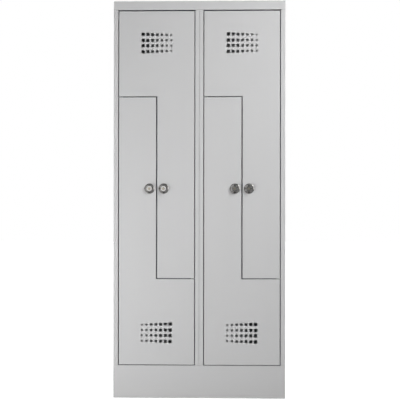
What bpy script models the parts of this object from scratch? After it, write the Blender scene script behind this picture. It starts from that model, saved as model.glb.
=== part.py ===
"""Two-column steel Z locker: folded carcass, four L-shaped doors on pivot pins, turning locks.

Metres, +Z up. X runs across the front, the doors face -Y, and the floor is at Z = 0. The origin is
below the middle of the whole locker, knobs included.
"""

import math

import bmesh
import bpy
from mathutils import Matrix, Vector

# Carcass
LOCKER_WIDTH = 0.8000
LOCKER_HEIGHT = 1.8500
CARCASS_DEPTH = 0.5000
SHEET = 0.0008
FOLD_RADIUS = 0.0020
FIT_GAP = 0.0003
SIDE_STILE = 0.0211
CENTER_STILE = 0.0382
CENTER_SEAM = 0.0004
STOP_LIP = 0.0080
REAR_FLANGE = 0.0200
TOP_RAIL = 0.0411
PLINTH_HEIGHT = 0.1523
FOOT_FOLD = 0.0250
FLOOR_FOLD = 0.0200

# Z divider and the stop frame in front of it
DIVIDER_TAB = 0.0120
STOP_BAR = 0.0360
STOP_SHEET = 0.0012
HINGE_RELIEF = 0.0060

# Doors
DOOR_SHEET = 0.0010
DOOR_DEPTH = 0.0180
DOOR_LIP = 0.0120
DOOR_EDGE_RADIUS = 0.0012
SIDE_GAP = 0.0038
TOP_GAP = 0.0056
BOTTOM_GAP = 0.0030
STEP_GAP = 0.0040
MEETING_GAP = 0.0052
STEP_BAND = 0.4025
BUMPER_RADIUS = 0.0040
BUMPER_HEIGHT = 0.0028
BUMPER_RISE = 0.0900

# Vent holes, largest at the door's free edge, their field set a little towards the hinge
VENT_COLUMNS = 7
VENT_LARGEST = 0.0160
VENT_SMALLEST = 0.0090
VENT_PITCH = 0.0220
VENT_INNER_ROW = 0.0125
VENT_OUTER_EDGE = 0.0329
VENT_FROM_END = 0.1485
VENT_TO_HINGE = 0.0023

# Door stiffener, a hat section
STIFFENER_FROM_HINGE = 0.0460
STIFFENER_CROWN = 0.0200
STIFFENER_FLANGE = 0.0100
STIFFENER_DEPTH = 0.0110
STIFFENER_END = 0.0200

# Pivot pins and the brackets in the step gaps
HINGE_INSET = 0.0090
PIN_RADIUS = 0.0030
PIN_COLLAR_RADIUS = 0.0045
PIN_COLLAR = 0.0020
PIN_COLLAR_CLEARANCE = 0.0005
PIN_TAIL = 0.0060
PIN_PROUD = 0.0020
BRACKET_SHEET = 0.0020
BRACKET_SETBACK = 0.0015
BRACKET_END = 0.0070
BRACKET_CORNER = 0.0030

# Turning lock, just below the middle, its heights measured outwards from the door's face
LOCK_OFFSET = 0.0330
LOCK_DROP = 0.0047
ROSETTE_RADIUS = 0.0240
ROSETTE_THICKNESS = 0.0030
ROSETTE_CHAMFER = 0.0012
NECK_RADIUS = 0.0100
NECK_LENGTH = 0.0140
NUT_RADIUS = 0.0145
NUT_THICKNESS = 0.0040
KNOB_CORNER_RADIUS = 0.0225
KNOB_FACE_RADIUS = 0.0130
KNOB_REACH = 0.0220
KNOB_SHOULDER = 0.0120
POCKET_HALF_HEIGHT = 0.0032
POCKET_HALF_WIDTH = 0.0052
POCKET_MARGIN = 0.0005
POCKET_FLOOR = 0.0090
SPINDLE_RADIUS = 0.0050
SPINDLE_END_RADIUS = 0.0040
SPINDLE_HEAD_RADIUS = 0.0065
SPINDLE_HEAD = 0.0012
PLUG_RADIUS = 0.0055
PLUG_LENGTH = 0.0100
PLUG_PROUD = 0.0004
KEYWAY_WIDTH = 0.0015
KEYWAY_HEIGHT = 0.0070
KEYWAY_DEPTH = 0.0050
CAM_WIDTH = 0.0180
CAM_SHEET = 0.0020
CAM_CLEARANCE = 0.0008
CAM_TIP_CLEARANCE = 0.0060
CAM_CORNER = 0.0030

# Coat rails, a bent rod with two hooks under each compartment's top
RAIL_RADIUS = 0.0050
RAIL_SPAN = 0.1300
RAIL_DROP = 0.0500
RAIL_BEND = 0.0200
HOOK_RADIUS = 0.0022
HOOK_SPACING = 0.0500
HOOK_DROP = 0.0300
HOOK_CURL = 0.0120
HOOK_TIP = 0.0080

# Cuts run this far past what they cut, and points this close become one
OVERRUN = 0.0050
WELD = 0.00001

# Facets of round pieces
PIN_SIDES = 16
LOCK_SIDES = 32
POCKET_SIDES = 16
ARC_STEPS = 4
TUBE_RESOLUTION = 2
BEND_SEGMENTS = 2
SMOOTH_ANGLE = math.radians(35)

# Places worked out from the sizes
PLUG_TOP = KNOB_REACH + PLUG_PROUD
FRONT = -(CARCASS_DEPTH - PLUG_TOP) / 2
BACK = FRONT + CARCASS_DEPTH
SIDE = LOCKER_WIDTH / 2
STOP_DEPTH = DOOR_DEPTH + BUMPER_HEIGHT + 2 * FIT_GAP
STILE_DEPTH = STOP_DEPTH + SHEET
RAIL_BOTTOM = LOCKER_HEIGHT - TOP_RAIL
STEP_LOW = PLINTH_HEIGHT + BOTTOM_GAP / 2 + STEP_BAND
STEP_HIGH = RAIL_BOTTOM - TOP_GAP / 2 - STEP_BAND
LOCK_HEIGHT = (STEP_LOW + STEP_HIGH) / 2 - LOCK_DROP
HINGE_SETBACK = DOOR_SHEET + PIN_COLLAR_RADIUS + PIN_COLLAR_CLEARANCE
HINGE_Y = FRONT + HINGE_SETBACK
BACK_SHEET = BACK - SHEET - FIT_GAP
INNER_BACK = BACK_SHEET - SHEET - FIT_GAP
FLOOR_TOP = PLINTH_HEIGHT - SHEET - FIT_GAP
ROOF_UNDERSIDE = LOCKER_HEIGHT - SHEET - FIT_GAP
CENTER_WALL = CENTER_SEAM / 2
INNER_SIDE = SIDE - SHEET - FIT_GAP
POCKET_CENTER = KNOB_FACE_RADIUS + POCKET_MARGIN + POCKET_HALF_HEIGHT
CAM_FRONT = STOP_DEPTH + STOP_SHEET + CAM_CLEARANCE
CAM_BACK = CAM_FRONT + CAM_SHEET

AXIS_X = Vector((1, 0, 0))
AXIS_Y = Vector((0, 1, 0))
AXIS_Z = Vector((0, 0, 1))
FACE_FRONT = Matrix.Rotation(math.radians(90), 4, "X")


def clear_scene():
    for obj in list(bpy.data.objects):
        bpy.data.objects.remove(obj)


def new_collection(name):
    collection = bpy.data.collections.new(name)
    bpy.context.scene.collection.children.link(collection)
    return collection


def finish(name, color, metallic, roughness):
    material = bpy.data.materials.new(name)
    material.use_nodes = True
    shader = material.node_tree.nodes["Principled BSDF"]
    shader.inputs["Base Color"].default_value = (*color, 1)
    shader.inputs["Metallic"].default_value = metallic
    shader.inputs["Roughness"].default_value = roughness
    material.diffuse_color = (*color, 1)
    return material


def new_object(name, mesh, material=None):
    """A part in the locker's collection, or a hidden cutter where it has no material."""
    obj = bpy.data.objects.new(name, mesh)
    if material:
        parts.objects.link(obj)
        if not mesh.materials:
            mesh.materials.append(material)
    else:
        cutters.objects.link(obj)
        obj.hide_render = True
        obj.display_type = "WIRE"
    return obj


def mesh_from(bm, name):
    mesh = bpy.data.meshes.new(name)
    bm.to_mesh(mesh)
    bm.free()
    return mesh


def evaluated_mesh(obj):
    """Gives the object's mesh after its modifiers, in its own axes, and removes the object."""
    bpy.context.view_layer.update()
    graph = bpy.context.evaluated_depsgraph_get()
    mesh = bpy.data.meshes.new_from_object(obj.evaluated_get(graph))
    mesh.name = obj.name
    bpy.data.objects.remove(obj)
    return mesh


def add_box(bm, low, high):
    low, high = Vector(low), Vector(high)
    made = bmesh.ops.create_cube(bm, size=1)["verts"]
    bmesh.ops.scale(bm, verts=made, vec=high - low)
    bmesh.ops.translate(bm, verts=made, vec=(low + high) / 2)


def add_rod(bm, radius, start, end, sides, squash=1):
    """A straight rod between two points. Squash is its share of height to width."""
    start, end = Vector(start), Vector(end)
    made = bmesh.ops.create_cone(
        bm,
        cap_ends=True,
        segments=sides,
        radius1=radius,
        radius2=radius,
        depth=(end - start).length,
    )["verts"]
    bmesh.ops.scale(bm, verts=made, vec=(1, squash, 1))
    turn = AXIS_Z.rotation_difference(end - start).to_matrix().to_4x4()
    bmesh.ops.transform(bm, verts=made, matrix=Matrix.Translation((start + end) / 2) @ turn)


def boxes(name, *pairs):
    bm = bmesh.new()
    for low, high in pairs:
        add_box(bm, low, high)
    return new_object(name, mesh_from(bm, name))


def combine(obj, operation, *others):
    for other in others:
        modifier = obj.modifiers.new(other.name, "BOOLEAN")
        modifier.operation = operation
        modifier.object = other
    return obj


def cut(obj, *others):
    return combine(obj, "DIFFERENCE", *others)


def add_bevel(obj, width):
    bevel = obj.modifiers.new("edge", "BEVEL")
    bevel.width = width
    bevel.segments = BEND_SEGMENTS
    bevel.limit_method = "ANGLE"
    return obj


def folded_sheet(name, line, run, low, high, material, offset=-1):
    """A sheet folded along a line of points in the plane across run, its metal on the line's left.

    The line's points are (x, y) where run is Z, (y, z) where it is X, and (x, z) where it is Y.
    """
    bm = bmesh.new()
    spots = []
    for a, b in line:
        spot = {"X": (low, a, b), "Y": (a, low, b), "Z": (a, b, low)}[run]
        spots.append(bm.verts.new(spot))
    edges = [bm.edges.new(pair) for pair in zip(spots, spots[1:])]
    ahead = spots[1].co - spots[0].co
    along = {"X": AXIS_X, "Y": AXIS_Y, "Z": AXIS_Z}[run]
    grown = bmesh.ops.extrude_edge_only(bm, edges=edges)["geom"]
    moved = [item for item in grown if isinstance(item, bmesh.types.BMVert)]
    bmesh.ops.translate(bm, verts=moved, vec=along * (high - low))
    bm.normal_update()
    right = -ahead.cross(along) if run == "Y" else ahead.cross(along)
    if spots[0].link_faces[0].normal.dot(right) < 0:
        bmesh.ops.reverse_faces(bm, faces=bm.faces)
    obj = new_object(name, mesh_from(bm, name), material)
    add_bevel(obj, FOLD_RADIUS)
    solid = obj.modifiers.new("sheet", "SOLIDIFY")
    solid.thickness = SHEET
    solid.offset = offset
    solid.use_even_offset = True
    return obj


def mirrored(line):
    return [(-x, y) for x, y in reversed(line)]


def plate(name, outline, low, high, material=None, turn=FACE_FRONT):
    """A flat plate of an outline, lying in XZ and thick along Y unless turn says otherwise."""
    curve = bpy.data.curves.new(name, "CURVE")
    curve.dimensions = "2D"
    curve.fill_mode = "BOTH"
    curve.extrude = (high - low) / 2
    spline = curve.splines.new("POLY")
    spline.points.add(len(outline) - 1)
    for point, (a, b) in zip(spline.points, outline):
        point.co = (a, b, 0, 1)
    spline.use_cyclic_u = True
    guide = bpy.data.objects.new(name, curve)
    cutters.objects.link(guide)
    mesh = evaluated_mesh(guide)
    bpy.data.curves.remove(curve)
    middle = (low + high) / 2
    lift = Matrix.Translation(AXIS_Y * middle if turn is FACE_FRONT else AXIS_Z * middle)
    bm = bmesh.new()
    bm.from_mesh(mesh)
    bmesh.ops.remove_doubles(bm, verts=bm.verts, dist=WELD)
    bmesh.ops.dissolve_limit(bm, angle_limit=math.radians(1), verts=bm.verts, edges=bm.edges)
    bmesh.ops.transform(bm, verts=bm.verts, matrix=lift @ turn)
    bmesh.ops.recalc_face_normals(bm, faces=bm.faces)
    bm.to_mesh(mesh)
    bm.free()
    return new_object(name, mesh, material)


def turned(name, profile, sides, closed=False):
    """A shape turned about Z from (radius, height) points that run down its outer side."""
    bm = bmesh.new()
    spots = [bm.verts.new((radius, 0, height)) for radius, height in profile]
    ends = spots[1:] + spots[:1] if closed else spots[1:]
    for pair in zip(spots, ends):
        bm.edges.new(pair)
    obj = new_object(name, mesh_from(bm, name))
    screw = obj.modifiers.new("turn", "SCREW")
    screw.steps = screw.render_steps = sides
    screw.use_merge_vertices = True
    screw.merge_threshold = WELD
    return obj


def tube(name, points, radius):
    """A bent rod along points, closed at both ends."""
    curve = bpy.data.curves.new(name, "CURVE")
    curve.dimensions = "3D"
    curve.bevel_depth = radius
    curve.bevel_resolution = TUBE_RESOLUTION
    curve.use_fill_caps = True
    spline = curve.splines.new("POLY")
    spline.points.add(len(points) - 1)
    for point, place in zip(spline.points, points):
        point.co = (*place, 1)
    guide = bpy.data.objects.new(name, curve)
    cutters.objects.link(guide)
    mesh = evaluated_mesh(guide)
    bpy.data.curves.remove(curve)
    bm = bmesh.new()
    bm.from_mesh(mesh)
    bmesh.ops.remove_doubles(bm, verts=bm.verts, dist=WELD)
    bmesh.ops.recalc_face_normals(bm, faces=bm.faces)
    bm.to_mesh(mesh)
    bm.free()
    return new_object(name, mesh)


def arc(center, radius, start, end, steps):
    """Points of an arc between two angles in degrees, both ends included."""
    angles = [math.radians(start + (end - start) * step / steps) for step in range(steps + 1)]
    return [(center[0] + radius * math.cos(a), center[1] + radius * math.sin(a)) for a in angles]


def shared_mesh(obj, material):
    """The finished mesh of a piece that is used more than once, smooth where it is round."""
    mesh = evaluated_mesh(obj)
    mesh.materials.clear()
    mesh.materials.append(material)
    mesh.shade_smooth()
    mesh.set_sharp_from_angle(angle=SMOOTH_ANGLE)
    return mesh


def place(name, mesh, spot, empty=None):
    """A part with its mesh's origin at a spot of the world, hung on an empty where there is one."""
    obj = new_object(name, mesh, mesh.materials[0])
    obj.location = spot
    return hang(obj, empty) if empty else obj


def hang(obj, empty):
    """Hangs a part on an empty that stands on its joint's axis, and keeps its place in the world."""
    bpy.context.view_layer.update()
    obj.parent = empty
    obj.matrix_parent_inverse = empty.matrix_world.inverted()
    return obj


def axis_empty(name, spot, parent=None):
    empty = bpy.data.objects.new(name, None)
    parts.objects.link(empty)
    empty.location = spot
    return hang(empty, parent) if parent else empty


class Column:
    """The opening between two stiles and the walls behind them."""

    def __init__(self, name, low, high, wall_low, wall_high):
        self.name = name
        self.low, self.high = low, high
        self.middle = (low + high) / 2
        self.wall_low, self.wall_high = wall_low, wall_high


class Door:
    """Where a door's edges lie. Turn is 1 for an upper door and -1 for a lower one, turned half round."""

    def __init__(self, column, level, turn):
        self.name = f"{column.name}_{level}"
        self.column, self.turn = column, turn
        upper = turn > 0
        self.post = column.high if upper else column.low
        far_post = column.low if upper else column.high
        self.hinge_edge = self.post - turn * SIDE_GAP
        self.far_edge = far_post + turn * SIDE_GAP
        self.meeting_edge = column.middle + turn * MEETING_GAP / 2
        self.end = RAIL_BOTTOM - TOP_GAP if upper else PLINTH_HEIGHT + BOTTOM_GAP
        self.step = (STEP_HIGH if upper else STEP_LOW) + turn * STEP_GAP / 2
        self.tip = (STEP_LOW if upper else STEP_HIGH) + turn * STEP_GAP / 2
        self.axis_x = self.hinge_edge - turn * HINGE_INSET
        self.lock_x = column.middle + turn * LOCK_OFFSET
        self.bracket_height = STEP_LOW if upper else STEP_HIGH
        self.wall = column.wall_high if upper else column.wall_low

    def outline(self, inset):
        side = self.turn * inset
        return [
            (self.hinge_edge - side, self.end - side),
            (self.far_edge + side, self.end - side),
            (self.far_edge + side, self.step + side),
            (self.meeting_edge + side, self.step + side),
            (self.meeting_edge + side, self.tip + side),
            (self.hinge_edge - side, self.tip + side),
        ]


def wall_line(edge, stile, back):
    """A wall on the left of its column, from its rear flange round its stile to its stop lip."""
    inner = edge + stile
    stop = FRONT + STOP_DEPTH
    return [
        (edge + REAR_FLANGE, back),
        (edge, back),
        (edge, FRONT),
        (inner, FRONT),
        (inner, stop),
        (inner + STOP_LIP, stop),
    ]


def flipped(box):
    """A box on the left side of the locker, turned over to the right side."""
    (x1, y1, z1), (x2, y2, z2) = box
    return (-x2, y1, z1), (-x1, y2, z2)


def side_panel(name, right):
    line = wall_line(-SIDE, SIDE_STILE, BACK)
    panel = folded_sheet(
        name, mirrored(line) if right else line, "Z", 0, ROOF_UNDERSIDE, painted
    )
    outside, inside = -SIDE - OVERRUN, -SIDE + SIDE_STILE + STOP_LIP + OVERRUN
    ends = [
        (RAIL_BOTTOM - FIT_GAP, LOCKER_HEIGHT + OVERRUN),
        (-OVERRUN, PLINTH_HEIGHT + FIT_GAP),
    ]
    ahead = FRONT - OVERRUN
    fold = FRONT + FOLD_RADIUS + FIT_GAP / 2
    edge = [((outside, ahead, a), (inside, fold, b)) for a, b in ends]
    behind = FRONT + STILE_DEPTH + FIT_GAP
    stile = [((-SIDE + SIDE_STILE / 2, ahead, a), (inside, behind, b)) for a, b in ends]
    rear_low = LOCKER_HEIGHT - REAR_FLANGE - FIT_GAP
    rear = [
        (
            (outside, BACK - FOLD_RADIUS - FIT_GAP / 2, rear_low),
            (-SIDE + REAR_FLANGE + OVERRUN, BACK + OVERRUN, LOCKER_HEIGHT + OVERRUN),
        )
    ]
    for label, notches in (("edge", edge), ("stile", stile), ("rear", rear)):
        shapes = [flipped(box) for box in notches] if right else notches
        cut(panel, boxes(f"{name}_{label}_notch", *shapes))


def center_wall(name, right_column):
    line = wall_line(CENTER_WALL, CENTER_STILE / 2 - CENTER_WALL, INNER_BACK)
    wall = folded_sheet(
        name,
        line if right_column else mirrored(line),
        "Z",
        FLOOR_TOP + FIT_GAP,
        ROOF_UNDERSIDE,
        painted,
    )
    reach = CENTER_STILE / 2 + STOP_LIP + OVERRUN
    behind = FRONT + STILE_DEPTH + FIT_GAP
    ends = [
        (RAIL_BOTTOM - FIT_GAP, LOCKER_HEIGHT),
        (FLOOR_TOP - OVERRUN, PLINTH_HEIGHT + FIT_GAP),
    ]
    notches = [((-reach, FRONT - OVERRUN, a), (reach, behind, b)) for a, b in ends]
    cut(wall, boxes(f"{name}_notches", *notches))


def stile_zones():
    """Spans of X in which the stiles stand, where the roof and the plinth have no stop lip."""
    edge = SIDE - SIDE_STILE - STOP_LIP - FIT_GAP
    center = CENTER_STILE / 2 + STOP_LIP + FIT_GAP
    return [(-SIDE - OVERRUN, -edge), (-center, center), (edge, SIDE + OVERRUN)]


def add_pivot_hole(bm, door, height):
    low = (door.axis_x, HINGE_Y, height - OVERRUN)
    high = (door.axis_x, HINGE_Y, height + OVERRUN)
    add_rod(bm, PIN_RADIUS + FIT_GAP, low, high, PIN_SIDES)


def pivot_holes(name, doors, height):
    bm = bmesh.new()
    for door in doors:
        add_pivot_hole(bm, door, height)
    return new_object(name, mesh_from(bm, name))


def front_fold_cuts(panel, lip_low, lip_high, side_low, side_high, depth):
    """Cuts the stop lip away at the stiles, and the folds away at the side walls."""
    stop = FRONT + STOP_DEPTH
    lips = [
        ((a, stop - OVERRUN, lip_low), (b, stop + SHEET + OVERRUN, lip_high))
        for a, b in stile_zones()
    ]
    fold = FRONT + FOLD_RADIUS - FIT_GAP / 2
    left = (
        (-SIDE - OVERRUN, fold, side_low),
        (-INNER_SIDE, FRONT + depth + OVERRUN, side_high),
    )
    cut(panel, boxes(f"{panel.name}_lip_cut", *lips))
    cut(panel, boxes(f"{panel.name}_side_cut", left, flipped(left)))


def roof_panel(doors):
    stop = FRONT + STOP_DEPTH
    line = [
        (BACK, LOCKER_HEIGHT - REAR_FLANGE),
        (BACK, LOCKER_HEIGHT),
        (FRONT, LOCKER_HEIGHT),
        (FRONT, RAIL_BOTTOM),
        (stop, RAIL_BOTTOM),
        (stop, RAIL_BOTTOM - STOP_LIP),
    ]
    roof = folded_sheet("roof_panel", line, "X", -SIDE, SIDE, painted)
    lip_low = RAIL_BOTTOM - STOP_LIP - OVERRUN
    front_fold_cuts(
        roof,
        lip_low,
        RAIL_BOTTOM - FIT_GAP / 2,
        lip_low,
        RAIL_BOTTOM + TOP_RAIL / 2,
        STILE_DEPTH,
    )
    cut(roof, pivot_holes("roof_pivot_holes", doors, RAIL_BOTTOM))


def plinth_panel(doors):
    stop = FRONT + STOP_DEPTH
    line = [
        (stop, PLINTH_HEIGHT + STOP_LIP),
        (stop, PLINTH_HEIGHT),
        (FRONT, PLINTH_HEIGHT),
        (FRONT, 0),
        (FRONT + FOOT_FOLD, 0),
    ]
    plinth = folded_sheet("plinth_panel", line, "X", -SIDE, SIDE, painted)
    lip_high = PLINTH_HEIGHT + STOP_LIP + OVERRUN
    front_fold_cuts(
        plinth,
        PLINTH_HEIGHT + FIT_GAP / 2,
        lip_high,
        -OVERRUN,
        lip_high,
        FOOT_FOLD,
    )
    cut(plinth, pivot_holes("plinth_pivot_holes", doors, PLINTH_HEIGHT))


def floor_panel(doors):
    ahead = FRONT + SHEET + FIT_GAP
    line = [
        (INNER_BACK, FLOOR_TOP - FLOOR_FOLD),
        (INNER_BACK, FLOOR_TOP),
        (ahead, FLOOR_TOP),
        (ahead, FLOOR_TOP - FLOOR_FOLD),
    ]
    floor = folded_sheet("floor_panel", line, "X", -INNER_SIDE, INNER_SIDE, painted)
    cut(floor, pivot_holes("floor_pivot_holes", doors, FLOOR_TOP))


def back_panel():
    line = [
        (BACK_SHEET - FOOT_FOLD, 0),
        (BACK_SHEET, 0),
        (BACK_SHEET, LOCKER_HEIGHT - FOLD_RADIUS - FIT_GAP),
    ]
    half = SIDE - FOLD_RADIUS - FIT_GAP
    folded_sheet("back_panel", line, "X", -half, half, painted)


def z_divider(column):
    """One sheet bent in a Z: upper shelf, upright and lower shelf, with a tab on each wall."""
    inset = FIT_GAP + SHEET / 2
    low, high = column.wall_low + inset, column.wall_high - inset
    line = [
        (low, STEP_HIGH + DIVIDER_TAB),
        (low, STEP_HIGH),
        (column.middle, STEP_HIGH),
        (column.middle, STEP_LOW),
        (high, STEP_LOW),
        (high, STEP_LOW - DIVIDER_TAB),
    ]
    start = FRONT + STOP_DEPTH + STOP_SHEET + FIT_GAP
    stop = INNER_BACK - FOLD_RADIUS - FIT_GAP
    folded_sheet(f"{column.name}_z_divider", line, "Y", start, stop, painted, offset=0)


def z_stop_frame(column):
    """A flat Z behind the gaps between the doors, which they close on and the cams turn behind."""
    half = STOP_BAR / 2
    reach = SIDE_GAP + HINGE_INSET + HINGE_RELIEF
    low, high = column.low + reach, column.high - reach
    outline = [
        (low, STEP_HIGH + half),
        (column.middle + half, STEP_HIGH + half),
        (column.middle + half, STEP_LOW + half),
        (high, STEP_LOW + half),
        (high, STEP_LOW - half),
        (column.middle - half, STEP_LOW - half),
        (column.middle - half, STEP_HIGH - half),
        (low, STEP_HIGH - half),
    ]
    start = FRONT + STOP_DEPTH
    plate(f"{column.name}_z_stop_frame", outline, start, start + STOP_SHEET, painted)


def pivot_bracket(door):
    """A plate in the step gap at the hinge stile, which carries the door's pin."""
    root = door.post - door.turn * FIT_GAP
    end = door.axis_x - door.turn * BRACKET_END
    shoulder = end + door.turn * BRACKET_CORNER
    ahead, behind = FRONT + BRACKET_SETBACK, FRONT + STOP_DEPTH - FIT_GAP
    outline = [
        (root, ahead),
        (shoulder, ahead),
        (end, ahead + BRACKET_CORNER),
        (end, behind - BRACKET_CORNER),
        (shoulder, behind),
        (root - door.turn * BRACKET_CORNER, behind),
        (root, behind - BRACKET_CORNER),
    ]
    half = BRACKET_SHEET / 2
    level = door.bracket_height
    bracket = plate(
        f"{door.name}_pivot_bracket", outline, level - half, level + half, zinc, Matrix()
    )
    cut(bracket, pivot_holes(f"{bracket.name}_hole", [door], level))


def coat_rail(door):
    """A rod bent up to the compartment's top at both ends, with two hooks on it."""
    upper = door.turn > 0
    ceiling = ROOF_UNDERSIDE if upper else STEP_HIGH - SHEET / 2 - FIT_GAP
    middle = (door.column.middle + door.wall) / 2
    depth = (FRONT + INNER_BACK) / 2
    low, high = middle - RAIL_SPAN / 2, middle + RAIL_SPAN / 2
    rod = ceiling - RAIL_DROP
    bend = rod + RAIL_BEND
    line = [(low, ceiling)]
    line += arc((low + RAIL_BEND, bend), RAIL_BEND, 180, 270, ARC_STEPS)
    line += arc((high - RAIL_BEND, bend), RAIL_BEND, 270, 360, ARC_STEPS)
    line += [(high, ceiling)]
    name = f"{door.name}_coat_rail"
    rail = tube(f"{name}_rod", [(x, depth, z) for x, z in line], RAIL_RADIUS)
    hooks = []
    for side in (-1, 1):
        x = middle + side * HOOK_SPACING / 2
        low_end = rod - HOOK_DROP
        curl = arc((depth - HOOK_CURL, low_end), HOOK_CURL, 0, -180, 2 * ARC_STEPS)
        path = [(depth, rod)] + curl + [(depth - 2 * HOOK_CURL, low_end + HOOK_TIP)]
        hooks.append(tube(f"{name}_hook", [(x, y, z) for y, z in path], HOOK_RADIUS))
    combine(rail, "UNION", *hooks)
    new_object(name, shared_mesh(rail, zinc), zinc)


def door_holes(door):
    """One cutter for the vent field, the lock's neck and the two pivot pins."""
    bm = bmesh.new()
    center_x = (door.hinge_edge + door.far_edge) / 2 + door.turn * VENT_TO_HINGE
    center_z = door.end - door.turn * VENT_FROM_END
    shrink = (VENT_LARGEST - VENT_SMALLEST) / (VENT_COLUMNS - 1)
    for column in range(VENT_COLUMNS):
        half = (VENT_LARGEST - column * shrink) / 2
        x = center_x + door.turn * VENT_PITCH * (column - (VENT_COLUMNS - 1) / 2)
        for row in (VENT_INNER_ROW, VENT_OUTER_EDGE + half):
            for z in (center_z - row, center_z + row):
                low = (x - half, FRONT - OVERRUN, z - half)
                add_box(bm, low, (x + half, FRONT + OVERRUN, z + half))
    ahead, behind = (Vector((door.lock_x, FRONT + y, LOCK_HEIGHT)) for y in (-OVERRUN, OVERRUN))
    add_rod(bm, NECK_RADIUS + FIT_GAP, ahead, behind, LOCK_SIDES)
    for edge in (door.end, door.tip):
        add_pivot_hole(bm, door, edge)
    name = f"{door.name}_holes"
    return new_object(name, mesh_from(bm, name))


def door_panel(door, empty):
    name = f"{door.name}_door_panel"
    behind = FRONT + DOOR_DEPTH
    panel = plate(name, door.outline(0), FRONT, behind, painted)
    add_bevel(panel, DOOR_EDGE_RADIUS)
    hollow = plate(
        f"{name}_hollow", door.outline(DOOR_SHEET), FRONT + DOOR_SHEET, behind - DOOR_SHEET
    )
    mouth = plate(
        f"{name}_mouth", door.outline(DOOR_LIP), FRONT + DOOR_DEPTH / 2, behind + OVERRUN
    )
    cut(panel, hollow, mouth, door_holes(door))
    hang(panel, empty)


def door_stiffener(door, empty):
    center = door.hinge_edge - door.turn * STIFFENER_FROM_HINGE
    crown = STIFFENER_CROWN / 2
    flange = crown + STIFFENER_FLANGE
    seat = FRONT + DOOR_SHEET + FIT_GAP
    ridge = seat + STIFFENER_DEPTH
    line = [
        (center - flange, seat),
        (center - crown, seat),
        (center - crown, ridge),
        (center + crown, ridge),
        (center + crown, seat),
        (center + flange, seat),
    ]
    low, high = sorted((door.end, door.tip))
    hat = folded_sheet(
        f"{door.name}_door_stiffener",
        line,
        "Z",
        low + STIFFENER_END,
        high - STIFFENER_END,
        painted,
    )
    hang(hat, empty)


def pivot_pin(door, level, edge, tip, empty):
    """A pin through the door's edge, with a collar inside the door."""
    out = 1 if tip > edge else -1
    seat = edge - out * (DOOR_SHEET + FIT_GAP)
    collar_end = seat - out * PIN_COLLAR
    tail = collar_end - out * PIN_TAIL
    profile = [
        (0, tip),
        (PIN_RADIUS, tip),
        (PIN_RADIUS, seat),
        (PIN_COLLAR_RADIUS, seat),
        (PIN_COLLAR_RADIUS, collar_end),
        (PIN_RADIUS, collar_end),
        (PIN_RADIUS, tail),
        (0, tail),
    ]
    name = f"{door.name}_{level}_pivot_pin"
    shape = turned(f"{name}_shape", profile if out > 0 else profile[::-1], PIN_SIDES)
    place(name, shared_mesh(shape, zinc), (door.axis_x, HINGE_Y, 0), empty)


def door_pins(door, empty):
    step_tip = door.bracket_height - door.turn * BRACKET_SHEET / 2
    if door.turn > 0:
        pivot_pin(door, "top", door.end, RAIL_BOTTOM + SHEET + PIN_PROUD, empty)
        pivot_pin(door, "bottom", door.tip, step_tip, empty)
    else:
        pivot_pin(door, "top", door.tip, step_tip, empty)
        pivot_pin(door, "bottom", door.end, FLOOR_TOP - SHEET - PIN_PROUD, empty)


def rosette_mesh():
    bore = SPINDLE_RADIUS + FIT_GAP
    top = FIT_GAP + ROSETTE_THICKNESS
    profile = [
        (bore, top),
        (ROSETTE_RADIUS - ROSETTE_CHAMFER, top),
        (ROSETTE_RADIUS, top - ROSETTE_CHAMFER),
        (ROSETTE_RADIUS, FIT_GAP),
        (NECK_RADIUS, FIT_GAP),
        (NECK_RADIUS, -NECK_LENGTH),
        (bore, -NECK_LENGTH),
    ]
    return shared_mesh(turned("lock_rosette", profile, LOCK_SIDES, closed=True), chrome)


def nut_mesh():
    seat = -DOOR_SHEET - FIT_GAP
    bm = bmesh.new()
    add_rod(bm, NUT_RADIUS, (0, 0, seat - NUT_THICKNESS), (0, 0, seat), 6)
    nut = new_object("lock_nut", mesh_from(bm, "lock_nut"))
    bm = bmesh.new()
    low, high = seat - NUT_THICKNESS - OVERRUN, seat + OVERRUN
    add_rod(bm, NECK_RADIUS + FIT_GAP, (0, 0, low), (0, 0, high), LOCK_SIDES)
    return shared_mesh(cut(nut, new_object("lock_nut_bore", mesh_from(bm, "bore"))), zinc)


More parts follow.
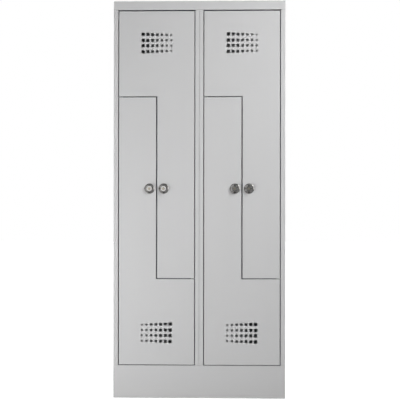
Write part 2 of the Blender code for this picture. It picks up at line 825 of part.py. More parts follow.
def knob_mesh():
    """A hexagonal knob with a coned front, two finger pockets, the plug's bore and its spindle."""
    base = 2 * FIT_GAP + ROSETTE_THICKNESS
    bm = bmesh.new()
    add_rod(bm, KNOB_CORNER_RADIUS, (0, 0, base), (0, 0, KNOB_REACH + OVERRUN), 6)
    knob = new_object("lock_knob", mesh_from(bm, "lock_knob"))
    rim = KNOB_CORNER_RADIUS + FIT_GAP
    front = [
        (0, KNOB_REACH),
        (KNOB_FACE_RADIUS, KNOB_REACH),
        (rim, KNOB_SHOULDER),
        (rim, base - OVERRUN),
        (0, base - OVERRUN),
    ]
    combine(knob, "INTERSECT", turned("knob_front", front, LOCK_SIDES))
    bm = bmesh.new()
    ahead = KNOB_REACH + OVERRUN
    squash = POCKET_HALF_HEIGHT / POCKET_HALF_WIDTH
    for y in (-POCKET_CENTER, POCKET_CENTER):
        ends = (0, y, POCKET_FLOOR), (0, y, ahead)
        add_rod(bm, POCKET_HALF_WIDTH, *ends, POCKET_SIDES, squash)
    bore = PLUG_TOP - PLUG_LENGTH - FIT_GAP
    add_rod(bm, PLUG_RADIUS + FIT_GAP, (0, 0, bore), (0, 0, ahead), LOCK_SIDES)
    cut(knob, new_object("knob_pockets", mesh_from(bm, "knob_pockets")))
    cam_seat = -CAM_FRONT + FIT_GAP
    cam_end = -CAM_BACK - FIT_GAP
    inside = (base + bore) / 2
    spindle = [
        (0, inside),
        (SPINDLE_RADIUS, inside),
        (SPINDLE_RADIUS, cam_seat),
        (SPINDLE_END_RADIUS, cam_seat),
        (SPINDLE_END_RADIUS, cam_end),
        (SPINDLE_HEAD_RADIUS, cam_end),
        (SPINDLE_HEAD_RADIUS, cam_end - SPINDLE_HEAD),
        (0, cam_end - SPINDLE_HEAD),
    ]
    combine(knob, "UNION", turned("knob_spindle", spindle, PIN_SIDES))
    return shared_mesh(knob, chrome)


def plug_mesh():
    bm = bmesh.new()
    low = PLUG_TOP - PLUG_LENGTH
    add_rod(bm, PLUG_RADIUS, (0, 0, low), (0, 0, PLUG_TOP), LOCK_SIDES)
    plug = new_object("key_plug", mesh_from(bm, "key_plug"))
    half, tall = KEYWAY_WIDTH / 2, KEYWAY_HEIGHT / 2
    keyway = (-half, -tall, PLUG_TOP - KEYWAY_DEPTH), (half, tall, PLUG_TOP + OVERRUN)
    return shared_mesh(cut(plug, boxes("keyway", keyway)), brass)


def cam_mesh():
    """The tongue hangs down at rest, and a quarter turn takes it behind the stop frame."""
    half = CAM_WIDTH / 2
    reach = LOCK_OFFSET - CAM_TIP_CLEARANCE
    outline = arc((0, 0), half, 0, 180, 2 * ARC_STEPS) + [
        (-half, -reach + CAM_CORNER),
        (-half + CAM_CORNER, -reach),
        (half - CAM_CORNER, -reach),
        (half, -reach + CAM_CORNER),
    ]
    cam = plate("lock_cam", outline, -CAM_BACK, -CAM_FRONT, turn=Matrix())
    bm = bmesh.new()
    ends = (0, 0, -CAM_BACK - OVERRUN), (0, 0, -CAM_FRONT + OVERRUN)
    add_rod(bm, SPINDLE_END_RADIUS + FIT_GAP, *ends, PIN_SIDES)
    return shared_mesh(cut(cam, new_object("cam_hole", mesh_from(bm, "cam_hole"))), zinc)


def bumper_mesh():
    profile = [
        (0, BUMPER_HEIGHT),
        (BUMPER_RADIUS, BUMPER_HEIGHT),
        (BUMPER_RADIUS, 0),
        (0, 0),
    ]
    return shared_mesh(turned("bumper", profile, PIN_SIDES), rubber)


def build_lock(door, hinge, meshes):
    spot = (door.lock_x, FRONT, LOCK_HEIGHT)
    knob_axis = axis_empty(f"{door.name}_knob_axis", spot, hinge)
    for piece, mesh in meshes.items():
        turns = piece in ("lock_knob", "lock_cam", "key_plug")
        obj = place(f"{door.name}_{piece}", mesh, spot)
        obj.rotation_euler = FACE_FRONT.to_euler()
        hang(obj, knob_axis if turns else hinge)


def build_carcass(columns, doors):
    upper = [door for door in doors if door.turn > 0]
    lower = [door for door in doors if door.turn < 0]
    side_panel("left_side_panel", False)
    side_panel("right_side_panel", True)
    center_wall("left_center_wall", False)
    center_wall("right_center_wall", True)
    roof_panel(upper)
    plinth_panel(lower)
    floor_panel(lower)
    back_panel()
    for column in columns:
        z_divider(column)
        z_stop_frame(column)
    bumper = bumper_mesh()
    for door in doors:
        pivot_bracket(door)
        coat_rail(door)
        x = door.meeting_edge + door.turn * DOOR_LIP / 2
        spot = (x, FRONT + STOP_DEPTH - FIT_GAP, LOCK_HEIGHT + door.turn * BUMPER_RISE)
        pad = place(f"{door.name}_door_bumper", bumper, spot)
        pad.rotation_euler = FACE_FRONT.to_euler()


def build_doors(doors):
    meshes = {
        "lock_rosette": rosette_mesh(),
        "lock_nut": nut_mesh(),
        "lock_knob": knob_mesh(),
        "lock_cam": cam_mesh(),
        "key_plug": plug_mesh(),
    }
    for door in doors:
        hinge = axis_empty(f"{door.name}_hinge_axis", (door.axis_x, HINGE_Y, LOCK_HEIGHT))
        door_panel(door, hinge)
        door_stiffener(door, hinge)
        door_pins(door, hinge)
        build_lock(door, hinge, meshes)


clear_scene()
parts = new_collection("z_locker")
cutters = new_collection("cutters")
painted = finish("light grey powder coat", (0.56, 0.56, 0.57), 0.0, 0.45)
zinc = finish("zinc plated steel", (0.60, 0.60, 0.62), 1.0, 0.35)
chrome = finish("polished nickel", (0.72, 0.71, 0.69), 1.0, 0.18)
brass = finish("nickel plated brass", (0.66, 0.62, 0.55), 1.0, 0.25)
rubber = finish("black rubber", (0.02, 0.02, 0.02), 0.0, 0.8)

locker_columns = [
    Column("left", -SIDE + SIDE_STILE, -CENTER_STILE / 2, -SIDE + SHEET, -CENTER_WALL - SHEET),
    Column("right", CENTER_STILE / 2, SIDE - SIDE_STILE, CENTER_WALL + SHEET, SIDE - SHEET),
]
locker_doors = [
    Door(column, level, turn)
    for column in locker_columns
    for level, turn in (("upper", 1), ("lower", -1))
]
build_carcass(locker_columns, locker_doors)
build_doors(locker_doors)
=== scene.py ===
import math

import bmesh
import bpy
from mathutils import Euler, Matrix, Vector


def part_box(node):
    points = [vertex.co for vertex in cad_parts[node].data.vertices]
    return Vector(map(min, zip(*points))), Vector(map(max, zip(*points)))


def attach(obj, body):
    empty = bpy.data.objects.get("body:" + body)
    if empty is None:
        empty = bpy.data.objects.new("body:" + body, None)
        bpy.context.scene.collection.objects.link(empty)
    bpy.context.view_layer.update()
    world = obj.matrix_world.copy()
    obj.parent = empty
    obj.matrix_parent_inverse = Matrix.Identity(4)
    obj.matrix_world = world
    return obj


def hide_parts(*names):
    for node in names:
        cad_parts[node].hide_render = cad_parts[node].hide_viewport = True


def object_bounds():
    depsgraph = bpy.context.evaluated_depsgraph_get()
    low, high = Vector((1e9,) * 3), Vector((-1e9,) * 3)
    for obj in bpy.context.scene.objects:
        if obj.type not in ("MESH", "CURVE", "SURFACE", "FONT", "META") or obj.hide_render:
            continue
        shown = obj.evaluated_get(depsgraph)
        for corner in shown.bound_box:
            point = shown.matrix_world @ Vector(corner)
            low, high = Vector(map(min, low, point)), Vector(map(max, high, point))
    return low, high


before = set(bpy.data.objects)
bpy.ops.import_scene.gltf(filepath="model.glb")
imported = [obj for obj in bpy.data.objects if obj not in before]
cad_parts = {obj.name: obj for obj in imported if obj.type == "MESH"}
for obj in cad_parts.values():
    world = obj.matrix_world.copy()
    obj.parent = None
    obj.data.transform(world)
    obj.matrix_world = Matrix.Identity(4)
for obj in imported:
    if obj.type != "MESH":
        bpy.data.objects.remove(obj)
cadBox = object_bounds()
scene = bpy.context.scene
print("frame loaded:", len(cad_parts), "nodes")


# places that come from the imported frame

def middleOf(node):
    return [(low + high) / 2 for low, high in zip(*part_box(node))]


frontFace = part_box("roof_panel")[0].y
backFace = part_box("roof_panel")[1].y
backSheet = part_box("back_panel")[1].y
halfWidth = cadBox[1].x
topHeight = cadBox[1].z
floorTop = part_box("floor_panel")[1].z
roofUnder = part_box("left_side_panel")[1].z
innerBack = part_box("left_center_wall")[1].y
lockHeight = middleOf("left_upper_lock_rosette")[2]
stepLow = middleOf("left_upper_pivot_bracket")[2]
stepHigh = middleOf("left_lower_pivot_bracket")[2]
outOfDoor = Matrix.Rotation(math.radians(90), 4, "X")  # a lock piece's own Z turns to point out of the door

carcass = {
    "sheet": 0.0008,
    "foldRadius": 0.0020,
    "foldSteps": 5,
    "gap": 0.0003,
    "sideStile": 0.0211,
    "centerStile": 0.0382,
    "centerSeam": 0.0004,
    "stopDepth": 0.0214,
    "stopLip": 0.0080,
    "rearFlange": 0.0200,
    "topRail": 0.0411,
    "plinthHeight": 0.1523,
    "footFold": 0.0250,
    "floorFold": 0.0200,
    "dividerTab": 0.0120,
    "rawEdge": 0.00018,
    "cutPast": 0.0050,
}
railBottom = topHeight - carcass["topRail"]
stopFace = frontFace + carcass["stopDepth"]
columnMiddle = (halfWidth - carcass["sideStile"] + carcass["centerStile"] / 2) / 2
sheet = carcass["sheet"]
gap = carcass["gap"]
past = carcass["cutPast"]  # how far a cutting tool reaches past what it cuts
samePoint = 0.000001  # points closer than this are one


# mesh helpers

def asObject(bm, name="tool"):
    mesh = bpy.data.meshes.new(name)
    bm.to_mesh(mesh)
    bm.free()
    obj = bpy.data.objects.new(name, mesh)
    scene.collection.objects.link(obj)
    return obj


def settle(obj):
    # puts the modifiers' result in the mesh itself
    bpy.context.view_layer.update()
    graph = bpy.context.evaluated_depsgraph_get()
    made = bpy.data.meshes.new_from_object(obj.evaluated_get(graph))
    obj.modifiers.clear()
    obj.data = made
    return obj


def combine(obj, tool, operation):
    change = obj.modifiers.new(tool.name, "BOOLEAN")
    change.operation = operation
    change.solver = "EXACT"
    change.object = tool


def shape(bm, thickness=0, offset=-1, cuts=(), joins=(), rawEdge=0, edgeSteps=2, sharp=35, shadePast=12):
    # a finished shape: wall thickness, cuts, softened raw edges, and shading that keeps flat faces flat
    obj = asObject(bm, "shape")
    if thickness:
        wall = obj.modifiers.new("wall", "SOLIDIFY")
        wall.thickness = thickness
        wall.offset = offset
        wall.use_even_offset = True
    for tool in joins:
        combine(obj, tool, "UNION")
    for tool in cuts:
        combine(obj, tool, "DIFFERENCE")
    if rawEdge:
        edge = obj.modifiers.new("edge", "BEVEL")
        edge.width = rawEdge
        edge.segments = edgeSteps
        edge.limit_method = "ANGLE"
        edge.angle_limit = math.radians(sharp)
    settle(obj)
    for tool in (*cuts, *joins):
        bpy.data.objects.remove(tool)
    obj.data.shade_smooth()
    obj.data.set_sharp_from_angle(angle=math.radians(sharp + shadePast))
    even = obj.modifiers.new("shading", "WEIGHTED_NORMAL")
    even.keep_sharp = True
    return settle(obj)


def show(obj, name, body, finish, *nodes):
    # the piece gets its name, its finish and its place on a body, and stands for its CAD nodes
    material, slotName = finishes[finish]
    obj.name = obj.data.name = name
    obj.data.materials.clear()
    obj.data.materials.append(material)
    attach(obj, body)
    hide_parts(*nodes)


def roundOff(bm, edges, width, steps, clamp=False):
    bmesh.ops.bevel(bm, geom=edges, offset=width, offset_type="OFFSET", segments=steps, profile=0.5,
                    affect="EDGES", material=-1, clamp_overlap=clamp)


def softenEdges(bm, width, steps=3, sharp=30):
    edges = [e for e in bm.edges if e.is_manifold and math.degrees(e.calc_face_angle()) > sharp]
    roundOff(bm, edges, width, steps, clamp=True)


def edgesAlong(bm, axis):
    return [e for e in bm.edges if abs(e.verts[0].co[axis] - e.verts[1].co[axis]) > gap]


def shiftGrown(bm, grown, way):
    # moves the vertices that an extrusion has just made
    moved = [item for item in grown["geom"] if isinstance(item, bmesh.types.BMVert)]
    bmesh.ops.translate(bm, verts=moved, vec=way)


def addBox(bm, low, high, corner=0, along=1, steps=3, straight=0.9):
    # a box between two corners, its edges along one axis rounded when corner is given
    low, high = Vector(low), Vector(high)
    made = bmesh.ops.create_cube(bm, size=1)["verts"]
    bmesh.ops.scale(bm, verts=made, vec=high - low)
    bmesh.ops.translate(bm, verts=made, vec=(low + high) / 2)
    if corner:
        touching = {e for v in made for e in v.link_edges}
        edges = [e for e in touching if abs((e.verts[0].co - e.verts[1].co).normalized()[along]) > straight]
        roundOff(bm, edges, corner, steps)


def boxTool(*pairs, **rounding):
    bm = bmesh.new()
    for low, high in pairs:
        addBox(bm, low, high, **rounding)
    return asObject(bm)


def addRod(bm, radius, start, end, sides=32, endRadius=None):
    start, end = Vector(start), Vector(end)
    made = bmesh.ops.create_cone(
        bm, cap_ends=True, segments=sides, radius1=radius,
        radius2=radius if endRadius is None else endRadius, depth=(end - start).length,
    )["verts"]
    turn = Vector((0, 0, 1)).rotation_difference(end - start).to_matrix().to_4x4()
    bmesh.ops.transform(bm, verts=made, matrix=Matrix.Translation((start + end) / 2) @ turn)


def rodTool(radius, x, y, low, high, sides=32):
    # an upright rod that reaches past both heights, to cut a hole
    bm = bmesh.new()
    addRod(bm, radius, (x, y, low - past), (x, y, high + past), sides)
    return asObject(bm)


def foldedSheet(points, run, low, high, outward):
    # a sheet pulled out along run from its folded line, with every fold rounded
    bm = bmesh.new()
    at = {"x": lambda a, b: (low, a, b), "y": lambda a, b: (a, low, b), "z": lambda a, b: (a, b, low)}[run]
    spots = [bm.verts.new(at(a, b)) for a, b in points]
    edges = [bm.edges.new(pair) for pair in zip(spots, spots[1:])]
    grown = bmesh.ops.extrude_edge_only(bm, edges=edges)
    shiftGrown(bm, grown, Vector([(high - low) * (run == axis) for axis in "xyz"]))
    bm.normal_update()
    if edges[0].link_faces[0].normal.dot(Vector(outward)) < 0:
        bmesh.ops.reverse_faces(bm, faces=bm.faces)
    folds = [e for e in bm.edges if len(e.link_faces) == 2]
    roundOff(bm, folds, carcass["foldRadius"], carcass["foldSteps"])
    return bm


def turnedShape(points, steps, closed=False):
    # points are (radius, height) along Z
    bm = bmesh.new()
    spots = [bm.verts.new((radius, 0, along)) for radius, along in points]
    ends = spots[1:] + spots[:1] if closed else spots[1:]
    line = [bm.edges.new(pair) for pair in zip(spots, ends)]
    bmesh.ops.spin(bm, geom=spots + line, cent=(0, 0, 0), axis=(0, 0, 1), angle=math.tau,
                   steps=steps, use_merge=True)
    bmesh.ops.remove_doubles(bm, verts=bm.verts, dist=samePoint)
    bmesh.ops.recalc_face_normals(bm, faces=bm.faces)
    return bm


def plateShape(outline, low, high):
    # a flat plate in XZ between two depths
    bm = bmesh.new()
    face = bm.faces.new([bm.verts.new((x, low, z)) for x, z in outline])
    shiftGrown(bm, bmesh.ops.extrude_face_region(bm, geom=[face]), (0, high - low, 0))
    bmesh.ops.recalc_face_normals(bm, faces=bm.faces)
    return bm


weldMark = {
    "radius": 0.0034, "floor": 0.0024, "depth": 0.00016, "rise": 0.0004, "sides": 20,
    "fromEdge": 0.0110, "fromStep": 0.0070, "fromSeam": 0.0115, "seamClear": 0.0200,
    "sideRow": (-0.185, 0.235, 7), "rearRow": (0.10, 1.74, 11), "roofRow": (-0.34, 0.34, 7),
    "wallRow": (0.22, 1.74, 9), "footRow": (-0.36, 0.36, 9),  # first place, last place, number of welds
}


def weldTool(spots, outward):
    # shallow round dents, as spot welds leave in the sheet
    bm = bmesh.new()
    outward = Vector(outward)
    slope = (weldMark["radius"] - weldMark["floor"]) / weldMark["depth"]
    rise = weldMark["rise"]
    for spot in spots:
        floor = Vector(spot) - outward * weldMark["depth"]
        addRod(bm, weldMark["floor"], floor, floor + outward * rise, weldMark["sides"],
               weldMark["floor"] + slope * rise)
    return asObject(bm)


def weldRow(name):
    low, high, count = weldMark[name]
    return [low + (high - low) * step / (count - 1) for step in range(count)]


def mirrorLine(points):
    return [(-a, b) for a, b in reversed(points)]


def flip(box):
    (x1, y1, z1), (x2, y2, z2) = box
    return (-x2, y1, z1), (-x1, y2, z2)


# node helpers

def feed(tree, socket, value):
    if isinstance(value, bpy.types.NodeSocket):
        tree.links.new(value, socket)
    else:
        socket.default_value = value


def feedAll(tree, inputs, **sockets):
    # underlines in the sockets' names stand for spaces
    for name, value in sockets.items():
        feed(tree, inputs[name.replace("_", " ")], value)


def addNode(tree, kind, settings=None, **sockets):
    node = tree.nodes.new(kind)
    for name, value in (settings or {}).items():
        setattr(node, name, value)
    feedAll(tree, node.inputs, **sockets)
    return node


def maths(tree, operation, a, b=0.0):
    node = addNode(tree, "ShaderNodeMath", {"operation": operation})
    feed(tree, node.inputs[0], a)
    feed(tree, node.inputs[1], b)
    return node.outputs[0]


def times(tree, result, *factors):
    for factor in factors:
        result = maths(tree, "MULTIPLY", result, factor)
    return result


def plus(tree, result, *parts):
    for part in parts:
        result = maths(tree, "ADD", result, part)
    return result


def noise(tree, where, scale, detail=2.0, roughness=0.5):
    return addNode(tree, "ShaderNodeTexNoise", Vector=where, Scale=scale, Detail=detail,
                   Roughness=roughness).outputs[0]


def ramp(tree, value, low, high, bottom=0.0, top=1.0):
    return addNode(tree, "ShaderNodeMapRange", {"clamp": True}, Value=value, From_Min=low, From_Max=high,
                   To_Min=bottom, To_Max=top).outputs[0]


def split(tree, vector):
    return addNode(tree, "ShaderNodeSeparateXYZ", Vector=vector).outputs


def objectPlace(tree):
    return addNode(tree, "ShaderNodeTexCoord").outputs["Object"]


def mixColors(tree, factor, a, b):
    node = addNode(tree, "ShaderNodeMix", {"data_type": "RGBA"})
    for index, value in ((0, factor), (6, a), (7, b)):
        feed(tree, node.inputs[index], (*value, 1) if isinstance(value, tuple) else value)
    return node.outputs[2]


def newGroup(name, output, **inputs):
    # a group with one output; its inputs are numbers, or colours where a tuple is given
    group = bpy.data.node_groups.new(name, "ShaderNodeTree")
    for label, value in inputs.items():
        kind = "NodeSocketColor" if isinstance(value, tuple) else "NodeSocketFloat"
        socket = group.interface.new_socket(label.replace("_", " "), in_out="INPUT", socket_type=kind)
        socket.default_value = value
    kind = "NodeSocketColor" if output == "Color" else "NodeSocketFloat"
    group.interface.new_socket(output, in_out="OUTPUT", socket_type=kind)
    given = group.nodes.new("NodeGroupInput").outputs
    return group, given, group.nodes.new("NodeGroupOutput").inputs[output]


def makeOrangePeel():
    # the fine skin of sprayed powder, and the slow waves of thin sheet under it
    group, given, out = newGroup("orangePeel", "Height", Peel_Scale=420.0, Peel_Depth=0.00001,
                                 Wave_Depth=0.0003)
    where = objectPlace(group)
    peel = noise(group, where, given["Peel Scale"], roughness=0.45)
    wave = noise(group, where, scale=3.4, detail=1.5, roughness=0.4)
    fine = times(group, peel, given["Peel Depth"])
    slow = times(group, wave, given["Wave Depth"])
    group.links.new(plus(group, fine, slow), out)
    return group


def makePaintTone():
    # small shifts of the coat's tone, over the panel and from grain to grain
    group, given, out = newGroup("paintTone", "Color", Color=(0.5, 0.5, 0.5, 1), Drift=0.02, Grain=0.02)
    where = objectPlace(group)
    shifts = []
    for amount, scale, detail in (("Drift", 2.1, 3.0), ("Grain", 900.0, 1.0)):
        cloud = noise(group, where, scale, detail)
        shifts.append(times(group, maths(group, "SUBTRACT", cloud, 0.5), given[amount]))
    tone = plus(group, *shifts, 1.0)
    shade = addNode(group, "ShaderNodeHueSaturation", Color=given["Color"], Value=tone)
    group.links.new(shade.outputs[0], out)
    return group


def makeEdgeRub():
    # folds and rims, where no axis of the piece is the surface's own: 1 in the middle of the round
    group, given, out = newGroup("edgeRub", "Mask", Reach=0.12, Amount=0.5)
    coordinates = addNode(group, "ShaderNodeTexCoord").outputs
    size = addNode(group, "ShaderNodeVectorMath", {"operation": "ABSOLUTE"}, Vector=coordinates["Normal"])
    part = split(group, size.outputs[0])
    most = maths(group, "MAXIMUM", maths(group, "MAXIMUM", part["X"], part["Y"]), part["Z"])
    turned = ramp(group, maths(group, "SUBTRACT", 1.0, most), 0.01, given["Reach"])
    broken = noise(group, coordinates["Object"], scale=38.0, detail=4.0, roughness=0.6)
    patchy = ramp(group, broken, 0.35, 0.62)
    group.links.new(times(group, turned, patchy, given["Amount"]), out)
    return group


def makeDustFall():
    # dust lies on what faces up, and a grey film climbs from the floor
    group, given, out = newGroup("dustFall", "Mask", Dust=0.2, Splash=0.2, Splash_Height=0.07)
    facing = split(group, addNode(group, "ShaderNodeNewGeometry").outputs["Normal"])
    where = objectPlace(group)
    cloud = noise(group, where, scale=9.0, detail=5.0, roughness=0.62)
    up = ramp(group, facing["Z"], 0.55, 0.95)
    low = ramp(group, split(group, where)["Z"], given["Splash Height"], 0.0)
    lying = times(group, up, cloud, given["Dust"])
    film = times(group, low, cloud, given["Splash"])
    group.links.new(plus(group, lying, film), out)
    return group


def makeScratches():
    # fine polishing lines and a few longer scratches
    group, given, out = newGroup("fineScratches", "Mask", Scale=300.0, Amount=0.5)
    where = objectPlace(group)
    lines = []
    for turn, stretch in ((0.5, (1, 1, 9)), (2.1, (9, 1, 1))):
        lay = addNode(group, "ShaderNodeMapping", Vector=where, Rotation=(0.2, turn, 0.4), Scale=stretch)
        line = noise(group, lay.outputs[0], given["Scale"], detail=3.0, roughness=0.7)
        lines.append(ramp(group, line, 0.56, 0.74))
    group.links.new(times(group, maths(group, "MAXIMUM", *lines), given["Amount"]), out)
    return group


def makePaintedGapShade():
    # painted shade in the gaps round the doors: darkens what lies a few millimetres behind the front, never
    # the outside
    group, given, out = newGroup("paintedGapShade", "Mask", Start=0.0, End=0.03, Fade=0.003, Side=0.4, Top=1.8,
                                 Amount=0.5)
    where = objectPlace(group)
    spot = split(group, where)
    inside = maths(group, "LESS_THAN", maths(group, "ABSOLUTE", spot["X"]), given["Side"])
    under = maths(group, "LESS_THAN", spot["Z"], given["Top"])
    masks = []
    for edge, turn in (("Start", 1.0), ("End", -1.0)):
        behind = times(group, maths(group, "SUBTRACT", spot["Y"], given[edge]), turn)
        masks.append(ramp(group, behind, 0.0, given["Fade"]))
    cloud = noise(group, where, scale=25.0, detail=3.0)
    uneven = ramp(group, cloud, 0.3, 0.7, bottom=0.8)
    hidden = times(group, inside, under, given["Amount"])
    group.links.new(times(group, *masks, uneven, hidden), out)
    return group


def makeSeamReach():
    # 1 behind the gaps where two doors of a column meet, the upright one and the two steps, 0 away from them;
    # it keeps the stop frames' painted shade to these seams
    group, given, out = newGroup("seamReach", "Mask", Middle=0.2, Low_Step=0.5, High_Step=1.3, Width=0.006,
                                 Fade=0.003)
    spot = split(group, objectPlace(group))
    aside = maths(group, "ABSOLUTE", spot["X"])
    lines = ((aside, "Middle"), (spot["Z"], "Low Step"), (spot["Z"], "High Step"))
    away = [maths(group, "ABSOLUTE", maths(group, "SUBTRACT", place, given[line])) for place, line in lines]
    nearest = maths(group, "MINIMUM", maths(group, "MINIMUM", away[0], away[1]), away[2])
    outer = plus(group, given["Width"], given["Fade"])
    group.links.new(ramp(group, nearest, outer, given["Width"]), out)
    return group


orangePeel = makeOrangePeel()
paintTone = makePaintTone()
edgeRub = makeEdgeRub()
dustFall = makeDustFall()
fineScratches = makeScratches()
paintedGapShade = makePaintedGapShade()
seamReach = makeSeamReach()


# finishes

def newFinish(name, color=None):
    material = bpy.data.materials.new(name)
    material.use_nodes = True
    if color:
        material.diffuse_color = (*color, 1)
    tree = material.node_tree
    return material, tree, tree.nodes["Principled BSDF"].inputs


def useGroup(tree, group, **sockets):
    return addNode(tree, "ShaderNodeGroup", {"node_tree": group}, **sockets).outputs[0]


def feedBump(tree, normal, height):
    bump = addNode(tree, "ShaderNodeBump", Height=height, Distance=1.0, Strength=1.0)
    tree.links.new(bump.outputs[0], normal)


doorPaint = {
    "color": (0.502, 0.502, 0.506), "drift": 0.030, "grain": 0.030, "roughness": 0.42, "refraction": 1.5,
    "peelScale": 430.0, "peelDepth": 0.000035, "waveDepth": 0.0005,
    "dust": 0.25, "dustColor": (0.47, 0.46, 0.44), "dustRoughness": 0.5, "splash": 0.0, "splashHeight": 0.01,
    "rub": 0.30, "rubReach": 0.12, "rubColor": (0.66, 0.66, 0.66), "rubPolish": 0.12,
    # the next keys paint shade, tinted blue-black, on the surfaces inside the door gaps
    "gapShade": 0.45, "gapShadeColor": (0.055, 0.048, 0.100),
    "gapShadeStart": 0.0015, "gapShadeEnd": 0.0060, "gapShadeFade": 0.0030,
    "seamWidth": 0, "seamFade": 0,
}
bodyPaint = dict(doorPaint, gapShade=0.92, dust=0.40, splash=0.22, splashHeight=0.09, rub=0.22)
insidePaint = dict(doorPaint, gapShade=0.0, dust=0.45, roughness=0.48, rub=0.12)
# the stop frames get the painted shade only behind the seams
stopPaint = dict(insidePaint, gapShade=0.88, seamWidth=0.0045, seamFade=0.0090)


def paintFinish(name, values):
    # powder paint with dust, rubbed folds and painted shade in the gaps; seamWidth keeps the painted shade to
    # the doors' seams
    material, tree, inputs = newFinish(name, values["color"])
    tone = useGroup(tree, paintTone, Color=(*values["color"], 1), Drift=values["drift"],
                    Grain=values["grain"])
    dust = useGroup(tree, dustFall, Dust=values["dust"], Splash=values["splash"],
                    Splash_Height=values["splashHeight"])
    rub = useGroup(tree, edgeRub, Reach=values["rubReach"], Amount=values["rub"])
    skin = useGroup(tree, orangePeel, Peel_Scale=values["peelScale"], Peel_Depth=values["peelDepth"],
                    Wave_Depth=values["waveDepth"])
    amount = values["gapShade"]
    if values["seamWidth"]:
        seam = useGroup(tree, seamReach, Middle=columnMiddle, Low_Step=stepLow, High_Step=stepHigh,
                        Width=values["seamWidth"], Fade=values["seamFade"])
        amount = times(tree, seam, amount)
    # painted shade over the gaps' surfaces, from just behind the front to just behind the stops
    start, end = frontFace + values["gapShadeStart"], stopFace + values["gapShadeEnd"]
    gapShade = useGroup(tree, paintedGapShade, Start=start, End=end, Fade=values["gapShadeFade"], Amount=amount,
                     Side=halfWidth - sheet / 2, Top=topHeight - sheet / 2)
    dusty = mixColors(tree, dust, tone, values["dustColor"])
    gapShaded = mixColors(tree, gapShade, dusty, values["gapShadeColor"])
    worn = mixColors(tree, rub, gapShaded, values["rubColor"])
    rough = plus(tree, times(tree, dust, values["dustRoughness"]), values["roughness"])
    gloss = maths(tree, "SUBTRACT", rough, times(tree, rub, values["rubPolish"]))
    feedAll(tree, inputs, Base_Color=worn, Roughness=gloss, IOR=values["refraction"])
    feedBump(tree, inputs["Normal"], skin)
    return material


nickelLook = {
    "color": (0.66, 0.65, 0.63), "roughness": 0.11, "scratchRoughness": 0.16, "scratchScale": 420.0,
    "tarnish": (0.40, 0.385, 0.35), "tarnishAmount": 0.25, "tarnishRoughness": 0.2, "cloudScale": 60.0,
    "unevenScale": 180.0, "unevenDepth": 0.000012,
    # residue paints the marked hollows near black: dark residue and painted shade
    "residueAndShade": 0.95, "residueAndShadeColor": (0.02, 0.02, 0.02), "residueRoughness": 0.35,
}
oiledLook = dict(
    nickelLook, color=(0.17, 0.17, 0.175), roughness=0.38, scratchRoughness=0.15, scratchScale=500.0,
    tarnish=(0.08, 0.075, 0.07), tarnishAmount=0.6, cloudScale=150.0, unevenScale=450.0, unevenDepth=0.000004)
zincLook = dict(
    nickelLook, color=(0.58, 0.59, 0.61), roughness=0.30, scratchRoughness=0.18, scratchScale=380.0,
    tarnish=(0.42, 0.43, 0.46), tarnishAmount=0.7, cloudScale=90.0, unevenScale=270.0, unevenDepth=0.00001)
plugLook = dict(
    nickelLook, color=(0.62, 0.58, 0.50), roughness=0.16, scratchRoughness=0.20, scratchScale=900.0,
    tarnish=(0.40, 0.34, 0.24), tarnishAmount=0.5, cloudScale=200.0, unevenScale=600.0, unevenDepth=0.000004)


def metalFinish(name, values):
    # plated metal: a cloudy tone, scratches in the gloss, faint unevenness, and near-black residue and
    # painted shade in the hollows
    material, tree, inputs = newFinish(name, values["color"])
    where = objectPlace(tree)
    cloud = noise(tree, where, values["cloudScale"], detail=4.0, roughness=0.6)
    patch = ramp(tree, cloud, 0.45, 0.80, top=values["tarnishAmount"])
    tint = mixColors(tree, patch, values["color"], values["tarnish"])
    hollow = addNode(tree, "ShaderNodeAttribute", {"attribute_name": "hollow"}).outputs["Fac"]
    dark = mixColors(tree, times(tree, hollow, values["residueAndShade"]), tint, values["residueAndShadeColor"])
    lines = useGroup(tree, fineScratches, Scale=values["scratchScale"], Amount=values["scratchRoughness"])
    dull = times(tree, patch, values["tarnishRoughness"])
    matt = times(tree, hollow, values["residueRoughness"])
    rough = plus(tree, lines, values["roughness"], dull, matt)
    feedAll(tree, inputs, Base_Color=dark, Roughness=rough, Metallic=1.0)
    uneven = noise(tree, where, values["unevenScale"])
    feedBump(tree, inputs["Normal"], times(tree, uneven, values["unevenDepth"]))
    return material


rubberLook = {"color": (0.018, 0.018, 0.019), "dustColor": (0.045, 0.044, 0.042), "roughness": 0.75,
              "grainScale": 600.0, "grainDepth": 0.00004}


def rubberFinish():
    material, tree, inputs = newFinish("black rubber")
    grain = noise(tree, objectPlace(tree), rubberLook["grainScale"], detail=3.0)
    tone = mixColors(tree, grain, rubberLook["color"], rubberLook["dustColor"])
    feedAll(tree, inputs, Base_Color=tone, Roughness=rubberLook["roughness"])
    feedBump(tree, inputs["Normal"], times(tree, grain, rubberLook["grainDepth"]))
    return material


finishes = {
    "door": (paintFinish("light grey door paint", doorPaint), "powder_coat"),
    "body": (paintFinish("light grey body paint", bodyPaint), "powder_coat"),
    "inside": (paintFinish("light grey inside paint", insidePaint), "powder_coat"),
    "stop": (paintFinish("light grey stop paint", stopPaint), "powder_coat"),
    "nickel": (metalFinish("polished nickel", nickelLook), "polished_nickel"),
    "oiled": (metalFinish("oiled steel", oiledLook), "zinc_plate"),
    "zinc": (metalFinish("zinc plate", zincLook), "zinc_plate"),
    "plug": (metalFinish("nickel plated brass", plugLook), "nickel_brass"),
    "rubber": (rubberFinish(), "black_rubber"),
}
print("finishes made")


# columns and doors, as the frame has them

doorGaps = {"step": 0.0040, "meeting": 0.0052, "side": 0.0038}


def columnPlan(side):
    left = side == "left"
    low = -halfWidth + carcass["sideStile"] if left else carcass["centerStile"] / 2
    high = -carcass["centerStile"] / 2 if left else halfWidth - carcass["sideStile"]
    seam = carcass["centerSeam"] / 2
    walls = (-halfWidth + sheet, -seam - sheet) if left else (seam + sheet, halfWidth - sheet)
    return {"side": side, "low": low, "high": high, "middle": (low + high) / 2, "walls": walls}


